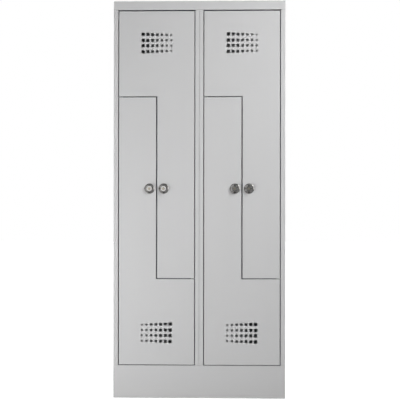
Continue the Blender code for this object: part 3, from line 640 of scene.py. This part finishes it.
def doorPlan(column, level):
    # turn is 1 for an upper door and -1 for a lower one, which is the same L turned half round
    name = f"{column['side']}_{level}"
    turn = 1 if level == "upper" else -1
    low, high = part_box(f"{name}_door_panel")
    post, far = (column["high"], column["low"]) if turn > 0 else (column["low"], column["high"])
    return {
        "name": name, "turn": turn, "body": f"{name}_door",
        "hinge": post - turn * doorGaps["side"], "far": far + turn * doorGaps["side"],
        "meeting": column["middle"] + turn * doorGaps["meeting"] / 2,
        "end": high.z if turn > 0 else low.z, "tip": low.z if turn > 0 else high.z,
        "step": (stepHigh if turn > 0 else stepLow) + turn * doorGaps["step"] / 2,
        "axis": middleOf(f"{name}_top_pivot_pin")[:2],
        "lock": (middleOf(f"{name}_lock_rosette")[0], frontFace, lockHeight),
    }


columns = [columnPlan("left"), columnPlan("right")]
doors = [doorPlan(column, level) for column in columns for level in ("upper", "lower")]


# carcass

pin = {"radius": 0.0030, "hole": 0.0033, "holeSides": 24, "collar": 0.0045, "collarLength": 0.0020,
       "chamfer": 0.0005, "sides": 32}


def addPinHole(bm, door, height):
    x, y = door["axis"]
    addRod(bm, pin["hole"], (x, y, height - past), (x, y, height + past), pin["holeSides"])


def pinHoleTool(turn, height):
    bm = bmesh.new()
    for door in doors:
        if door["turn"] == turn:
            addPinHole(bm, door, height)
    return asObject(bm)


def showSheet(bm, name, finish, node, cuts=(), offset=-1, body="carcass"):
    show(shape(bm, sheet, offset, cuts, rawEdge=carcass["rawEdge"]), name, body, finish, node)


def wallLine(edge, stile, back):
    inner = edge + stile
    return [(edge + carcass["rearFlange"], back), (edge, back), (edge, frontFace), (inner, frontFace),
            (inner, stopFace), (inner + carcass["stopLip"], stopFace)]


def buildSidePanel(side, hand):
    right = hand > 0
    line = wallLine(-halfWidth, carcass["sideStile"], backFace)
    bm = foldedSheet(mirrorLine(line) if right else line, "z", 0, roofUnder, (0, -hand, 0))
    outside, inside = -halfWidth - past, -halfWidth + carcass["sideStile"] + carcass["stopLip"] + past
    ends = [(railBottom - gap, topHeight + past), (-past, carcass["plinthHeight"] + gap)]
    ahead, fold = frontFace - past, frontFace + carcass["foldRadius"] + gap / 2
    behind = stopFace + sheet + gap
    edges = [((outside, ahead, a), (inside, fold, b)) for a, b in ends]
    stiles = [((-halfWidth + carcass["sideStile"] / 2, ahead, a), (inside, behind, b)) for a, b in ends]
    rear = [((outside, backFace - carcass["foldRadius"] - gap / 2, topHeight - carcass["rearFlange"] - gap),
             (-halfWidth + carcass["rearFlange"] + past, backFace + past, topHeight + past))]
    cuts = [boxTool(*(flip(b) if right else b for b in group)) for group in (edges, stiles, rear)]
    shelf = stepLow - weldMark["fromStep"] if right else stepHigh + weldMark["fromStep"]
    rows = (floorTop - weldMark["fromEdge"], shelf)
    cuts.append(weldTool([(hand * halfWidth, y, z) for z in rows for y in weldRow("sideRow")], (hand, 0, 0)))
    flange = hand * (halfWidth - weldMark["fromEdge"])
    cuts.append(weldTool([(flange, backFace, z) for z in weldRow("rearRow")], (0, 1, 0)))
    showSheet(bm, f"{side}_side_sheet", "body", f"{side}_side_panel", cuts)


def buildCenterWall(side, hand):
    seam = carcass["centerSeam"] / 2
    line = wallLine(seam, carcass["centerStile"] / 2 - seam, innerBack)
    bm = foldedSheet(line if hand > 0 else mirrorLine(line), "z", floorTop + gap, roofUnder, (0, hand, 0))
    reach = carcass["centerStile"] / 2 + carcass["stopLip"] + past
    behind = stopFace + sheet + gap
    ends = [(railBottom - gap, topHeight), (floorTop - past, carcass["plinthHeight"] + gap)]
    tool = boxTool(*(((-reach, frontFace - past, a), (reach, behind, b)) for a, b in ends))
    showSheet(bm, f"{side}_center_sheet", "body", f"{side}_center_wall", [tool])


def stileZones():
    edge = halfWidth - carcass["sideStile"] - carcass["stopLip"] - gap
    center = carcass["centerStile"] / 2 + carcass["stopLip"] + gap
    return [(-halfWidth - past, -edge), (-center, center), (edge, halfWidth + past)]


def frontFoldTools(lipLow, lipHigh, sideLow, sideHigh, depth):
    lips = [((a, stopFace - past, lipLow), (b, stopFace + sheet + past, lipHigh))
            for a, b in stileZones()]
    fold = frontFace + carcass["foldRadius"] - gap / 2
    left = ((-halfWidth - past, fold, sideLow),
            (-halfWidth + sheet + gap, frontFace + depth + past, sideHigh))
    return [boxTool(*lips), boxTool(left, flip(left))]


def buildRoof():
    line = [(backFace, topHeight - carcass["rearFlange"]), (backFace, topHeight), (frontFace, topHeight),
            (frontFace, railBottom), (stopFace, railBottom), (stopFace, railBottom - carcass["stopLip"])]
    bm = foldedSheet(line, "x", -halfWidth, halfWidth, (0, 1, 0))
    lipLow = railBottom - carcass["stopLip"] - past
    cuts = frontFoldTools(lipLow, railBottom - gap / 2, lipLow, railBottom + carcass["topRail"] / 2,
                          carcass["stopDepth"] + sheet)
    cuts.append(pinHoleTool(1, railBottom))
    welds = [(x, backFace, topHeight - weldMark["fromEdge"]) for x in weldRow("roofRow")]
    cuts.append(weldTool(welds, (0, 1, 0)))
    showSheet(bm, "roof_sheet", "body", "roof_panel", cuts)


def buildPlinth():
    height = carcass["plinthHeight"]
    line = [(stopFace, height + carcass["stopLip"]), (stopFace, height), (frontFace, height),
            (frontFace, 0), (frontFace + carcass["footFold"], 0)]
    bm = foldedSheet(line, "x", -halfWidth, halfWidth, (0, -1, 0))
    lipHigh = height + carcass["stopLip"] + past
    cuts = frontFoldTools(height + gap / 2, lipHigh, -past, lipHigh, carcass["footFold"])
    cuts.append(pinHoleTool(-1, height))
    showSheet(bm, "plinth_sheet", "body", "plinth_panel", cuts)


def buildFloor():
    ahead = frontFace + sheet + gap
    line = [(innerBack, floorTop - carcass["floorFold"]), (innerBack, floorTop), (ahead, floorTop),
            (ahead, floorTop - carcass["floorFold"])]
    reach = halfWidth - sheet - gap
    bm = foldedSheet(line, "x", -reach, reach, (0, 1, 0))
    showSheet(bm, "floor_sheet", "inside", "floor_panel", [pinHoleTool(-1, floorTop)])


def buildBack():
    low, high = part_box("back_panel")
    line = [(backSheet - carcass["footFold"], 0), (backSheet, 0), (backSheet, high.z)]
    bm = foldedSheet(line, "x", low.x, high.x, (0, 0, -1))
    seams = (-weldMark["fromSeam"], weldMark["fromSeam"])
    welds = [(x, backSheet, z) for x in seams for z in weldRow("wallRow")]
    welds += [(x, backSheet, floorTop - weldMark["fromEdge"]) for x in weldRow("footRow")
              if abs(x) > weldMark["seamClear"]]
    showSheet(bm, "back_sheet", "body", "back_panel", [weldTool(welds, (0, 1, 0))])


def buildDivider(column):
    inset = gap + sheet / 2
    low, high = column["walls"][0] + inset, column["walls"][1] - inset
    line = [(low, stepHigh + carcass["dividerTab"]), (low, stepHigh), (column["middle"], stepHigh),
            (column["middle"], stepLow), (high, stepLow), (high, stepLow - carcass["dividerTab"])]
    front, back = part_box(f"{column['side']}_z_divider")
    bm = foldedSheet(line, "y", front.y, back.y, (1, 0, 0))
    showSheet(bm, f"{column['side']}_divider_sheet", "inside", f"{column['side']}_z_divider", offset=0)


stopFrame = {"width": 0.0360, "corner": 0.0030, "cornerSteps": 4, "rawEdge": 0.0002}


def buildStopFrame(column):
    low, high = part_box(f"{column['side']}_z_stop_frame")
    half = stopFrame["width"] / 2
    middle = column["middle"]
    outline = [(low.x, stepHigh + half), (middle + half, stepHigh + half), (middle + half, stepLow + half),
               (high.x, stepLow + half), (high.x, stepLow - half), (middle - half, stepLow - half),
               (middle - half, stepHigh - half), (low.x, stepHigh - half)]
    bm = plateShape(outline, low.y, high.y)
    roundOff(bm, edgesAlong(bm, 1), stopFrame["corner"], stopFrame["cornerSteps"])
    show(shape(bm, rawEdge=stopFrame["rawEdge"]), f"{column['side']}_stop_sheet", "carcass", "stop",
         f"{column['side']}_z_stop_frame")


for side, hand in (("left", -1), ("right", 1)):
    buildSidePanel(side, hand)
    buildCenterWall(side, hand)
buildRoof()
buildPlinth()
buildFloor()
buildBack()
for column in columns:
    buildDivider(column)
    buildStopFrame(column)
print("carcass built")


# doors

doorShell = {
    "sheet": 0.0010, "depth": 0.0180, "lip": 0.0120, "edgeRadius": 0.0016, "edgeSteps": 5, "rawEdge": 0.00016,
    "merge": 0.00001, "flat": 0.0001, "foldAngle": 0.5, "sharp": 60, "lockHole": 0.0103,
}
vents = {
    "columns": 7, "largest": 0.0160, "smallest": 0.0090, "pitch": 0.0220, "shift": 0.0023,
    "innerRow": 0.0125, "outerEdge": 0.0329, "fromEnd": 0.1485, "cornerShare": 0.07,
}


def doorHoleTool(door):
    # the vents shrink from the hinge to the far edge; the lock's and the pins' holes come with them
    bm = bmesh.new()
    middleX = (door["hinge"] + door["far"]) / 2 + door["turn"] * vents["shift"]
    middleZ = door["end"] - door["turn"] * vents["fromEnd"]
    shrink = (vents["largest"] - vents["smallest"]) / (vents["columns"] - 1)
    for column in range(vents["columns"]):
        size = vents["largest"] - column * shrink
        half = size / 2
        x = middleX + door["turn"] * vents["pitch"] * (column - (vents["columns"] - 1) / 2)
        for row in (vents["innerRow"], vents["outerEdge"] + half):
            for z in (middleZ - row, middleZ + row):
                addBox(bm, (x - half, frontFace - past, z - half), (x + half, frontFace + past, z + half),
                       corner=size * vents["cornerShare"])
    x, y, z = door["lock"]
    addRod(bm, doorShell["lockHole"], (x, y - past, z), (x, y + past, z))
    for height in (door["end"], door["tip"]):
        addPinHole(bm, door, height)
    return asObject(bm)


def buildDoor(door):
    # starts as the L of the rear edge, gets its lip, is drawn forward and closed with the front
    bm = bmesh.new()
    back = frontFace + doorShell["depth"]
    outline = [(door["hinge"], door["end"]), (door["far"], door["end"]), (door["far"], door["step"]),
               (door["meeting"], door["step"]), (door["meeting"], door["tip"]), (door["hinge"], door["tip"])]
    rim = [bm.verts.new((x, back, z)) for x, z in outline]
    face = bm.faces.new(rim)
    bmesh.ops.inset_region(bm, faces=[face], thickness=doorShell["lip"], use_even_offset=True,
                           use_boundary=True)
    bmesh.ops.delete(bm, geom=[face], context="FACES")
    outer = [e for e in bm.edges if e.is_boundary and all(v in rim for v in e.verts)]
    shiftGrown(bm, bmesh.ops.extrude_edge_only(bm, edges=outer), (0, -doorShell["depth"], 0))
    ahead = [e for e in bm.edges if all(v.co.y < frontFace + doorShell["flat"] for v in e.verts)]
    bmesh.ops.edgeloop_fill(bm, edges=ahead)
    bmesh.ops.recalc_face_normals(bm, faces=bm.faces)
    front = min(bm.faces, key=lambda f: f.calc_center_median().y)
    bm.normal_update()
    if front.normal.y > 0:
        bmesh.ops.reverse_faces(bm, faces=bm.faces)
    folds = [e for e in bm.edges if not e.is_boundary and e.calc_face_angle(0) > doorShell["foldAngle"]]
    roundOff(bm, folds, doorShell["edgeRadius"], doorShell["edgeSteps"])
    bmesh.ops.remove_doubles(bm, verts=bm.verts, dist=doorShell["merge"])
    obj = shape(bm, doorShell["sheet"], cuts=[doorHoleTool(door)], rawEdge=doorShell["rawEdge"],
                sharp=doorShell["sharp"])
    show(obj, f"{door['name']}_door_skin", door["body"], "door", f"{door['name']}_door_panel")


stiffener = {"fromHinge": 0.0460, "crown": 0.0200, "flange": 0.0100, "depth": 0.0110, "end": 0.0200}


def buildStiffener(door):
    middle = door["hinge"] - door["turn"] * stiffener["fromHinge"]
    crown = stiffener["crown"] / 2
    flange = crown + stiffener["flange"]
    seat = frontFace + doorShell["sheet"] + gap
    ridge = seat + stiffener["depth"]
    line = [(middle - flange, seat), (middle - crown, seat), (middle - crown, ridge),
            (middle + crown, ridge), (middle + crown, seat), (middle + flange, seat)]
    low, high = sorted((door["end"], door["tip"]))
    bm = foldedSheet(line, "z", low + stiffener["end"], high - stiffener["end"], (0, -1, 0))
    showSheet(bm, f"{door['name']}_stiffener_hat", "inside", f"{door['name']}_door_stiffener",
              body=door["body"])


def buildPins(door):
    # each pin's collar sits inside the door's edge
    edges = sorted((door["end"], door["tip"]))
    for level, edge, inward in (("top", edges[1], -1), ("bottom", edges[0], 1)):
        low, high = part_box(f"{door['name']}_{level}_pivot_pin")
        seat = edge + inward * (doorShell["sheet"] + gap)
        collarLow, collarHigh = sorted((seat, seat + inward * pin["collarLength"]))
        shaft, collar = pin["radius"], pin["collar"]
        points = [(0, high.z), (shaft, high.z), (shaft, collarHigh), (collar, collarHigh),
                  (collar, collarLow), (shaft, collarLow), (shaft, low.z), (0, low.z)]
        bm = turnedShape(points, pin["sides"])
        softenEdges(bm, pin["chamfer"])
        bmesh.ops.translate(bm, verts=bm.verts, vec=(*door["axis"], 0))
        show(shape(bm), f"{door['name']}_{level}_pin", door["body"], "oiled",
             f"{door['name']}_{level}_pivot_pin")


bracket = {"corner": 0.0029, "cornerSteps": 5, "rawEdge": 0.0002}


def buildBracket(door):
    low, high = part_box(f"{door['name']}_pivot_bracket")
    bm = bmesh.new()
    addBox(bm, low, high, bracket["corner"], along=2, steps=bracket["cornerSteps"])
    hole = rodTool(pin["hole"], *door["axis"], low.z, high.z)
    obj = shape(bm, cuts=[hole], rawEdge=bracket["rawEdge"])
    show(obj, f"{door['name']}_step_bracket", "carcass", "zinc", f"{door['name']}_pivot_bracket")


bumper = {"faceShare": 0.92, "soft": 0.0008, "softSteps": 4, "sides": 32}


def buildBumper(door):
    low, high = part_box(f"{door['name']}_door_bumper")
    middle, radius, height = (low + high) / 2, (high.x - low.x) / 2, high.y - low.y
    points = [(0, height), (radius * bumper["faceShare"], height), (radius, 0), (0, 0)]
    bm = turnedShape(points, bumper["sides"])
    softenEdges(bm, bumper["soft"], bumper["softSteps"])
    seat = Matrix.Translation((middle.x, high.y, middle.z))
    bmesh.ops.transform(bm, verts=bm.verts, matrix=seat @ outOfDoor)
    show(shape(bm), f"{door['name']}_rubber_bumper", "carcass", "rubber", f"{door['name']}_door_bumper")


for door in doors:
    buildDoor(door)
    buildStiffener(door)
    buildPins(door)
    buildBracket(door)
    buildBumper(door)
print("doors built")


# locks, made with Z pointing out of the door

rosette = {
    "radius": 0.0240, "thickness": 0.0030, "slopeFrom": 0.0192, "slopeFall": 0.0013, "lip": 0.0005,
    "bore": 0.0053, "neck": 0.0100, "neckLength": 0.0140, "steps": 96, "fallShares": (0.02, 0.10, 0.85),
    "lipShare": 0.3, "sharp": 28,
}
knob = {
    "sides": 6, "corner": 0.0225, "cornerSoft": 0.0009, "cornerSteps": 4, "face": 0.0130, "faceSoft": 0.0006,
    "faceFall": 0.0003, "reach": 0.0220, "shoulder": 0.0120, "base": 0.0036, "soft": 0.00045, "softSteps": 3,
    "pocketHigh": 0.0032, "pocketWide": 0.0052, "pocketCenter": 0.0167, "pocketFloor": 0.0090,
    "pocketReach": 1.03, "pocketSides": 32, "pocketRings": 16, "plugHole": 0.0058, "plugHoleFloor": 0.0121,
    "steps": 96, "flatAngle": 0.4, "sharp": 24,
}
spindle = {
    "radius": 0.0050, "top": 0.0078, "end": 0.0040, "seat": -0.0231, "camEnd": -0.0257,
    "head": 0.0065, "headLength": 0.0012, "headShares": (0.6, 0.8), "sides": 48,
}
plug = {
    "radius": 0.0055, "top": 0.0224, "length": 0.0100, "soft": 0.0004, "rawEdge": 0.0001, "sides": 48,
    "slotWide": 0.0015, "slotHigh": 0.0070, "slotDeep": 0.0050, "slotCornerShare": 0.9,
    "wardShares": (1.7, 0.25, 0.1),
}
cam = {"width": 0.0180, "front": -0.0234, "back": -0.0254, "reach": 0.0270, "corner": 0.0030,
       "cornerSteps": 5, "tipShare": 0.9, "hole": 0.0043, "rawEdge": 0.0003, "sides": 48}
lockNut = {"sides": 6, "across": 0.0145, "thickness": 0.0040, "seat": -0.0013, "bore": 0.0103,
           "boreSides": 48, "rawEdge": 0.0006, "edgeSteps": 3}


lockNodes = {"rosette": "lock_rosette", "knob": "lock_knob", "plug": "key_plug", "cam": "lock_cam",
             "nut": "lock_nut"}


def showOnDoor(obj, door, name, body, finish):
    # a lock piece that was made about its own axis takes its place in the door
    obj.data.transform(Matrix.Translation(door["lock"]) @ outOfDoor)
    show(obj, f"{door['name']}_{name}", body, finish, f"{door['name']}_{lockNodes[name]}")


def buildRosette(door):
    top, base, lip, fall = gap + rosette["thickness"], gap, rosette["lip"], rosette["slopeFall"]
    radius, neck, bore, slope = rosette["radius"], rosette["neck"], rosette["bore"], rosette["slopeFrom"]
    first, second, third = rosette["fallShares"]
    turn = lip * rosette["lipShare"]
    points = [
        (bore, top), (slope - lip, top), (slope, top - fall * first), (slope + lip, top - fall * second),
        (radius - 2 * lip, top - fall * third), (radius - lip, top - fall),
        (radius - turn, top - fall - turn), (radius, top - fall - lip), (radius, base), (neck, base),
        (neck, -rosette["neckLength"]), (bore, -rosette["neckLength"]),
    ]
    obj = shape(turnedShape(points, rosette["steps"], closed=True), sharp=rosette["sharp"])
    showOnDoor(obj, door, "rosette", door["body"], "nickel")


def knobBody():
    # a hexagonal bar with soft corners, kept where a cone from face to shoulder covers it
    bm = bmesh.new()
    addRod(bm, knob["corner"], (0, 0, knob["base"]), (0, 0, knob["reach"] + past), knob["sides"])
    roundOff(bm, edgesAlong(bm, 2), knob["cornerSoft"], knob["cornerSteps"])
    rim = knob["corner"] + gap
    cone = asObject(turnedShape([
        (0, knob["reach"]), (knob["face"] - knob["faceSoft"], knob["reach"]),
        (knob["face"], knob["reach"] - knob["faceFall"]), (rim, knob["shoulder"]),
        (rim, knob["base"] - past), (0, knob["base"] - past)], knob["steps"]))
    body = asObject(bm)
    combine(body, cone, "INTERSECT")
    settle(body)
    bm = bmesh.new()
    bm.from_mesh(body.data)
    for used in (cone, body):
        bpy.data.objects.remove(used)
    bmesh.ops.dissolve_limit(bm, angle_limit=math.radians(knob["flatAngle"]), verts=bm.verts, edges=bm.edges)
    return bm


def knobHollows():
    bm = bmesh.new()
    for y in (-knob["pocketCenter"], knob["pocketCenter"]):
        made = bmesh.ops.create_uvsphere(bm, u_segments=knob["pocketSides"], v_segments=knob["pocketRings"],
                                         radius=1)["verts"]
        depth = knob["reach"] - knob["pocketFloor"]
        bmesh.ops.scale(bm, verts=made, vec=(knob["pocketWide"], knob["pocketHigh"], depth))
        bmesh.ops.translate(bm, verts=made, vec=(0, y, knob["reach"]))
    addRod(bm, knob["plugHole"], (0, 0, knob["plugHoleFloor"]), (0, 0, knob["reach"] + past), plug["sides"])
    return asObject(bm)


def knobSpindle():
    chamferShare, rimShare = spindle["headShares"]
    end, head, length = spindle["camEnd"], spindle["head"], spindle["headLength"]
    return asObject(turnedShape([
        (0, spindle["top"]), (spindle["radius"], spindle["top"]), (spindle["radius"], spindle["seat"]),
        (spindle["end"], spindle["seat"]), (spindle["end"], end), (head, end),
        (head, end - length * chamferShare), (head * rimShare, end - length), (0, end - length)],
        spindle["sides"]))


def buildKnob(door):
    obj = shape(knobBody(), cuts=[knobHollows()], joins=[knobSpindle()], rawEdge=knob["soft"],
                edgeSteps=knob["softSteps"], sharp=knob["sharp"])
    markHollows(obj)
    showOnDoor(obj, door, "knob", f"{door['name']}_knob", "nickel")


def markHollows(obj):
    # the finger dents and the wall round the plug are marked "hollow": the finish turns them near black, dark
    # polish residue and painted shade
    mask = obj.data.attributes.new("hollow", "FLOAT", "FACE")
    depth = knob["reach"] - knob["pocketFloor"]
    for face in obj.data.polygons:
        x, y, z = face.center
        dent = (x / knob["pocketWide"]) ** 2 + ((z - knob["reach"]) / depth) ** 2
        dent += ((abs(y) - knob["pocketCenter"]) / knob["pocketHigh"]) ** 2
        reach = max(obj.data.vertices[index].co.xy.length for index in face.vertices)
        wall = reach < knob["plugHole"] + knob["soft"] / 2 and z > knob["plugHoleFloor"] - gap
        mask.data[face.index].value = 1.0 if dent < knob["pocketReach"] or wall else 0.0


def buildPlug(door):
    top, low = plug["top"], plug["top"] - plug["length"]
    bm = turnedShape([(0, top), (plug["radius"], top), (plug["radius"], low), (0, low)], plug["sides"])
    softenEdges(bm, plug["soft"])
    half, tall, floor = plug["slotWide"] / 2, plug["slotHigh"] / 2, top - plug["slotDeep"]
    wide, under, over = plug["wardShares"]
    slot = boxTool(((-half, -tall, floor), (half, tall, top + past)), corner=half * plug["slotCornerShare"],
                   along=2)
    ward = boxTool(((0, -tall * under, floor + gap), (half * wide, tall * over, top + past)))
    obj = shape(bm, cuts=[slot, ward], rawEdge=plug["rawEdge"])
    showOnDoor(obj, door, "plug", f"{door['name']}_plug", "plug")


def buildCam(door):
    # half a disc, drawn out to a square tip with rounded corners
    half, reach = cam["width"] / 2, cam["reach"]
    bm = bmesh.new()
    bmesh.ops.create_circle(bm, cap_ends=False, radius=half, segments=cam["sides"])
    bmesh.ops.bisect_plane(bm, geom=bm.verts[:] + bm.edges[:], plane_co=(0, 0, 0), plane_no=(0, 1, 0),
                           clear_inner=True)
    ends = sorted((v for v in bm.verts if len(v.link_edges) == 1), key=lambda v: v.co.x)
    low = [bm.verts.new((x, -reach, 0)) for x in (-half, half)]
    for pair in ((ends[0], low[0]), (low[0], low[1]), (low[1], ends[1])):
        bm.edges.new(pair)
    face = bmesh.ops.edgeloop_fill(bm, edges=bm.edges[:])["faces"]
    shiftGrown(bm, bmesh.ops.extrude_face_region(bm, geom=face), (0, 0, cam["front"] - cam["back"]))
    bmesh.ops.translate(bm, verts=bm.verts, vec=(0, 0, cam["back"]))
    bmesh.ops.recalc_face_normals(bm, faces=bm.faces)
    corners = [e for e in edgesAlong(bm, 2) if all(v.co.y < -reach * cam["tipShare"] for v in e.verts)]
    roundOff(bm, corners, cam["corner"], cam["cornerSteps"])
    obj = shape(bm, cuts=[rodTool(cam["hole"], 0, 0, cam["back"], cam["front"])], rawEdge=cam["rawEdge"])
    showOnDoor(obj, door, "cam", f"{door['name']}_knob", "zinc")


def buildNut(door):
    seat, under = lockNut["seat"], lockNut["seat"] - lockNut["thickness"]
    bm = bmesh.new()
    addRod(bm, lockNut["across"], (0, 0, under), (0, 0, seat), lockNut["sides"])
    hole = rodTool(lockNut["bore"], 0, 0, under, seat, lockNut["boreSides"])
    obj = shape(bm, cuts=[hole], rawEdge=lockNut["rawEdge"], edgeSteps=lockNut["edgeSteps"])
    showOnDoor(obj, door, "nut", door["body"], "zinc")


for door in doors:
    buildRosette(door)
    buildKnob(door)
    buildPlug(door)
    buildCam(door)
    buildNut(door)
print("locks built")


# coat rails

coatRail = {"radius": 0.0050, "span": 0.1300, "drop": 0.0500, "bend": 0.0200, "bendSteps": 10, "sides": 20,
            "hookRadius": 0.0022, "hookSpacing": 0.0500, "hookDrop": 0.0300, "curl": 0.0120,
            "hookTip": 0.0080, "ball": 0.0022, "hookSides": 16, "rawEdge": 0.0004}


def sweepRod(start, radius, sides, moves):
    # a ring drawn down from its start along ("go", length) and ("bend", centre, axis, degrees, steps)
    bm = bmesh.new()
    heading = Vector((0, 0, -1))
    ring = bmesh.ops.create_circle(bm, cap_ends=True, radius=radius, segments=sides)["verts"]
    turn = Vector((0, 0, 1)).rotation_difference(heading).to_matrix().to_4x4()
    bmesh.ops.transform(bm, verts=ring, matrix=Matrix.Translation(start) @ turn)
    edges = bm.edges[:]
    for move in moves:
        if move[0] == "go":
            grown = bmesh.ops.extrude_edge_only(bm, edges=edges)
            shiftGrown(bm, grown, heading * move[1])
            made = grown["geom"]
        else:
            _, centre, axis, degrees, steps = move
            made = bmesh.ops.spin(bm, geom=edges, cent=centre, axis=axis, angle=math.radians(degrees),
                                  steps=steps, use_merge=False)["geom_last"]
            heading = Matrix.Rotation(math.radians(degrees), 3, Vector(axis)) @ heading
        edges = [item for item in made if isinstance(item, bmesh.types.BMEdge) and len(item.link_faces) == 1]
    bmesh.ops.edgeloop_fill(bm, edges=edges)
    bmesh.ops.recalc_face_normals(bm, faces=bm.faces)
    return bm


def buildCoatRail(door):
    low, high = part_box(f"{door['name']}_coat_rail")
    radius, bend, steps = coatRail["radius"], coatRail["bend"], coatRail["bendSteps"]
    left, right, depth = low.x + radius, high.x - radius, high.y - radius
    rod = high.z - coatRail["drop"]
    leg = ("go", coatRail["drop"] - bend)
    corners = [("bend", (x, depth, rod + bend), (0, -1, 0), 90, steps) for x in (left + bend, right - bend)]
    bm = sweepRod((left, depth, high.z), radius, coatRail["sides"],
                  [leg, corners[0], ("go", coatRail["span"] - 2 * bend), corners[1], leg])
    hooks = []
    for hand in (-1, 1):
        x = (left + right) / 2 + hand * coatRail["hookSpacing"] / 2
        curl = (x, depth - coatRail["curl"], rod - coatRail["hookDrop"])
        hooks.append(asObject(sweepRod((x, depth, rod), coatRail["hookRadius"], coatRail["hookSides"], [
            ("go", coatRail["hookDrop"]),
            ("bend", curl, (-1, 0, 0), 180, 2 * steps),
            ("go", coatRail["hookTip"] - coatRail["ball"]),
        ])))
    obj = shape(bm, joins=hooks, rawEdge=coatRail["rawEdge"])
    show(obj, f"{door['name']}_hanging_rail", "carcass", "zinc", f"{door['name']}_coat_rail")


for door in doors:
    buildCoatRail(door)
print("coat rails built")


# floor, light and camera

studio = {
    "floorSize": 80.0, "floorTones": ((0.60, 0.60, 0.60), (0.64, 0.64, 0.635)), "floorScale": 1.5,
    "floorGlow": 0.80, "floorDim": 0.58, "floorRoughness": 0.9, "floorShine": 0.1,
    "backdrop": 1.0, "roomFront": 0.11, "roomBack": 0.85, "roomFrom": -0.15, "roomTo": 0.7,
    "roomTop": 0.10, "roomRight": -0.08, "roomLeast": 0.02, "cardColor": (0.02, 0.02, 0.022, 1),
}
softboxes = {
    "key softbox": {"place": (1.4, -1.9, 2.1), "aim": (0.0, -0.25, 1.3), "size": 0.7, "power": 36.5},
    "fill softbox": {"place": (-1.4, -1.9, 0.35), "aim": (0.0, -0.25, 0.6), "size": 1.0, "power": 32.0},
}
mirrorCards = {
    "white_left_card": {"low": (-4.6, -9.0, 0.0), "high": (-0.40, -8.95, 2.8), "tone": 0.92},
    "white_right_card": {"low": (3.6, -5.4, 0.4), "high": (3.65, -3.2, 3.2), "tone": 1.6},
    "grey_low_left_card": {"low": (-1.35, -1.3, 0.0), "high": (-1.3, 0.5, 1.0), "tone": 0.42},
    "white_key_card": {"low": (1.05, -1.95, 1.75), "high": (1.75, -1.9, 2.45), "tone": 4.0},
    "white_slope_card": {"low": (1.6, -5.2, 0.0), "high": (3.2, -5.15, 3.0), "tone": 0.9},
}


def floorFinish():
    # near white to the camera, a plain pale floor to what it lights, and dim where metal mirrors it
    material, tree, inputs = newFinish("pale floor")
    cloud = noise(tree, objectPlace(tree), studio["floorScale"], detail=4.0)
    tone = mixColors(tree, cloud, *studio["floorTones"])
    path = addNode(tree, "ShaderNodeLightPath").outputs
    mirrored = times(tree, path["Is Glossy Ray"], studio["floorDim"])
    glow = times(tree, path["Is Camera Ray"], studio["floorGlow"])
    feedAll(tree, inputs, Base_Color=mixColors(tree, mirrored, tone, (0, 0, 0)), Emission_Color=(1, 1, 1, 1),
            Emission_Strength=glow, Roughness=studio["floorRoughness"],
            Specular_IOR_Level=studio["floorShine"])
    return material


def layFloor():
    bm = bmesh.new()
    bmesh.ops.create_grid(bm, x_segments=4, y_segments=4, size=studio["floorSize"] / 2)
    floor = asObject(bm, "studio_floor")
    floor.data.materials.append(floorFinish())


def studioWorld():
    # a white backdrop for the camera, and a softly lit room, darker in front and at the right, for the rest
    world = bpy.data.worlds.new("white studio")
    world.use_nodes = True
    tree = world.node_tree
    part = split(tree, addNode(tree, "ShaderNodeTexCoord").outputs["Generated"])
    depth = ramp(tree, part["Y"], studio["roomFrom"], studio["roomTo"], studio["roomFront"],
                 studio["roomBack"])
    top = times(tree, maths(tree, "MAXIMUM", part["Z"], 0.0), studio["roomTop"])
    right = times(tree, part["X"], studio["roomRight"])
    room = maths(tree, "MAXIMUM", plus(tree, depth, top, right), studio["roomLeast"])
    seen = addNode(tree, "ShaderNodeLightPath").outputs["Is Camera Ray"]
    tone = addNode(tree, "ShaderNodeMix", Factor=seen, A=room, B=studio["backdrop"])
    sky = tree.nodes["Background"]
    sky.inputs["Color"].default_value = (1, 1, 1, 1)
    tree.links.new(tone.outputs[0], sky.inputs["Strength"])
    return world


def hangSoftbox(name, values):
    lamp = bpy.data.lights.new(name, "AREA")
    lamp.shape = "DISK"
    lamp.size = values["size"]
    lamp.energy = values["power"]
    obj = bpy.data.objects.new(name, lamp)
    scene.collection.objects.link(obj)
    obj.location = values["place"]
    aim = Vector(values["aim"]) - Vector(values["place"])
    obj.rotation_euler = aim.to_track_quat("-Z", "Y").to_euler()
    obj.visible_camera = False
    obj.visible_glossy = False


def standCard(name, values):
    # a card that only metal mirrors, out of the camera's sight
    bm = bmesh.new()
    addBox(bm, values["low"], values["high"])
    card = asObject(bm, name)
    material, tree, inputs = newFinish(name)
    feedAll(tree, inputs, Base_Color=studio["cardColor"], Roughness=1.0, Emission_Color=(1, 1, 1, 1),
            Emission_Strength=values["tone"])
    card.data.materials.append(material)
    card.visible_camera = card.visible_diffuse = card.visible_shadow = False


layFloor()
scene.world = studioWorld()
for name, values in softboxes.items():
    hangSoftbox(name, values)
for name, values in mirrorCards.items():
    standCard(name, values)

cameraSet = {"place": (0.38, -8.0, 0.8658), "yaw": 0.04846, "pitch": 0.00729, "roll": -0.0011,
             "lens": 150.19, "sensor": 36.0, "clipEnd": 100.0}
lens = bpy.data.cameras.new("camera")
lens.sensor_width = cameraSet["sensor"]
lens.lens = cameraSet["lens"]
lens.clip_end = cameraSet["clipEnd"]
camera = bpy.data.objects.new("camera", lens)
scene.collection.objects.link(camera)
camera.location = cameraSet["place"]
camera.rotation_euler = Euler((math.pi / 2 + cameraSet["pitch"], cameraSet["roll"], cameraSet["yaw"]), "XYZ")
scene.camera = camera
scene.view_settings.view_transform = "Standard"
scene.view_settings.look = "None"
print("studio ready")

bpy.context.view_layer.update()
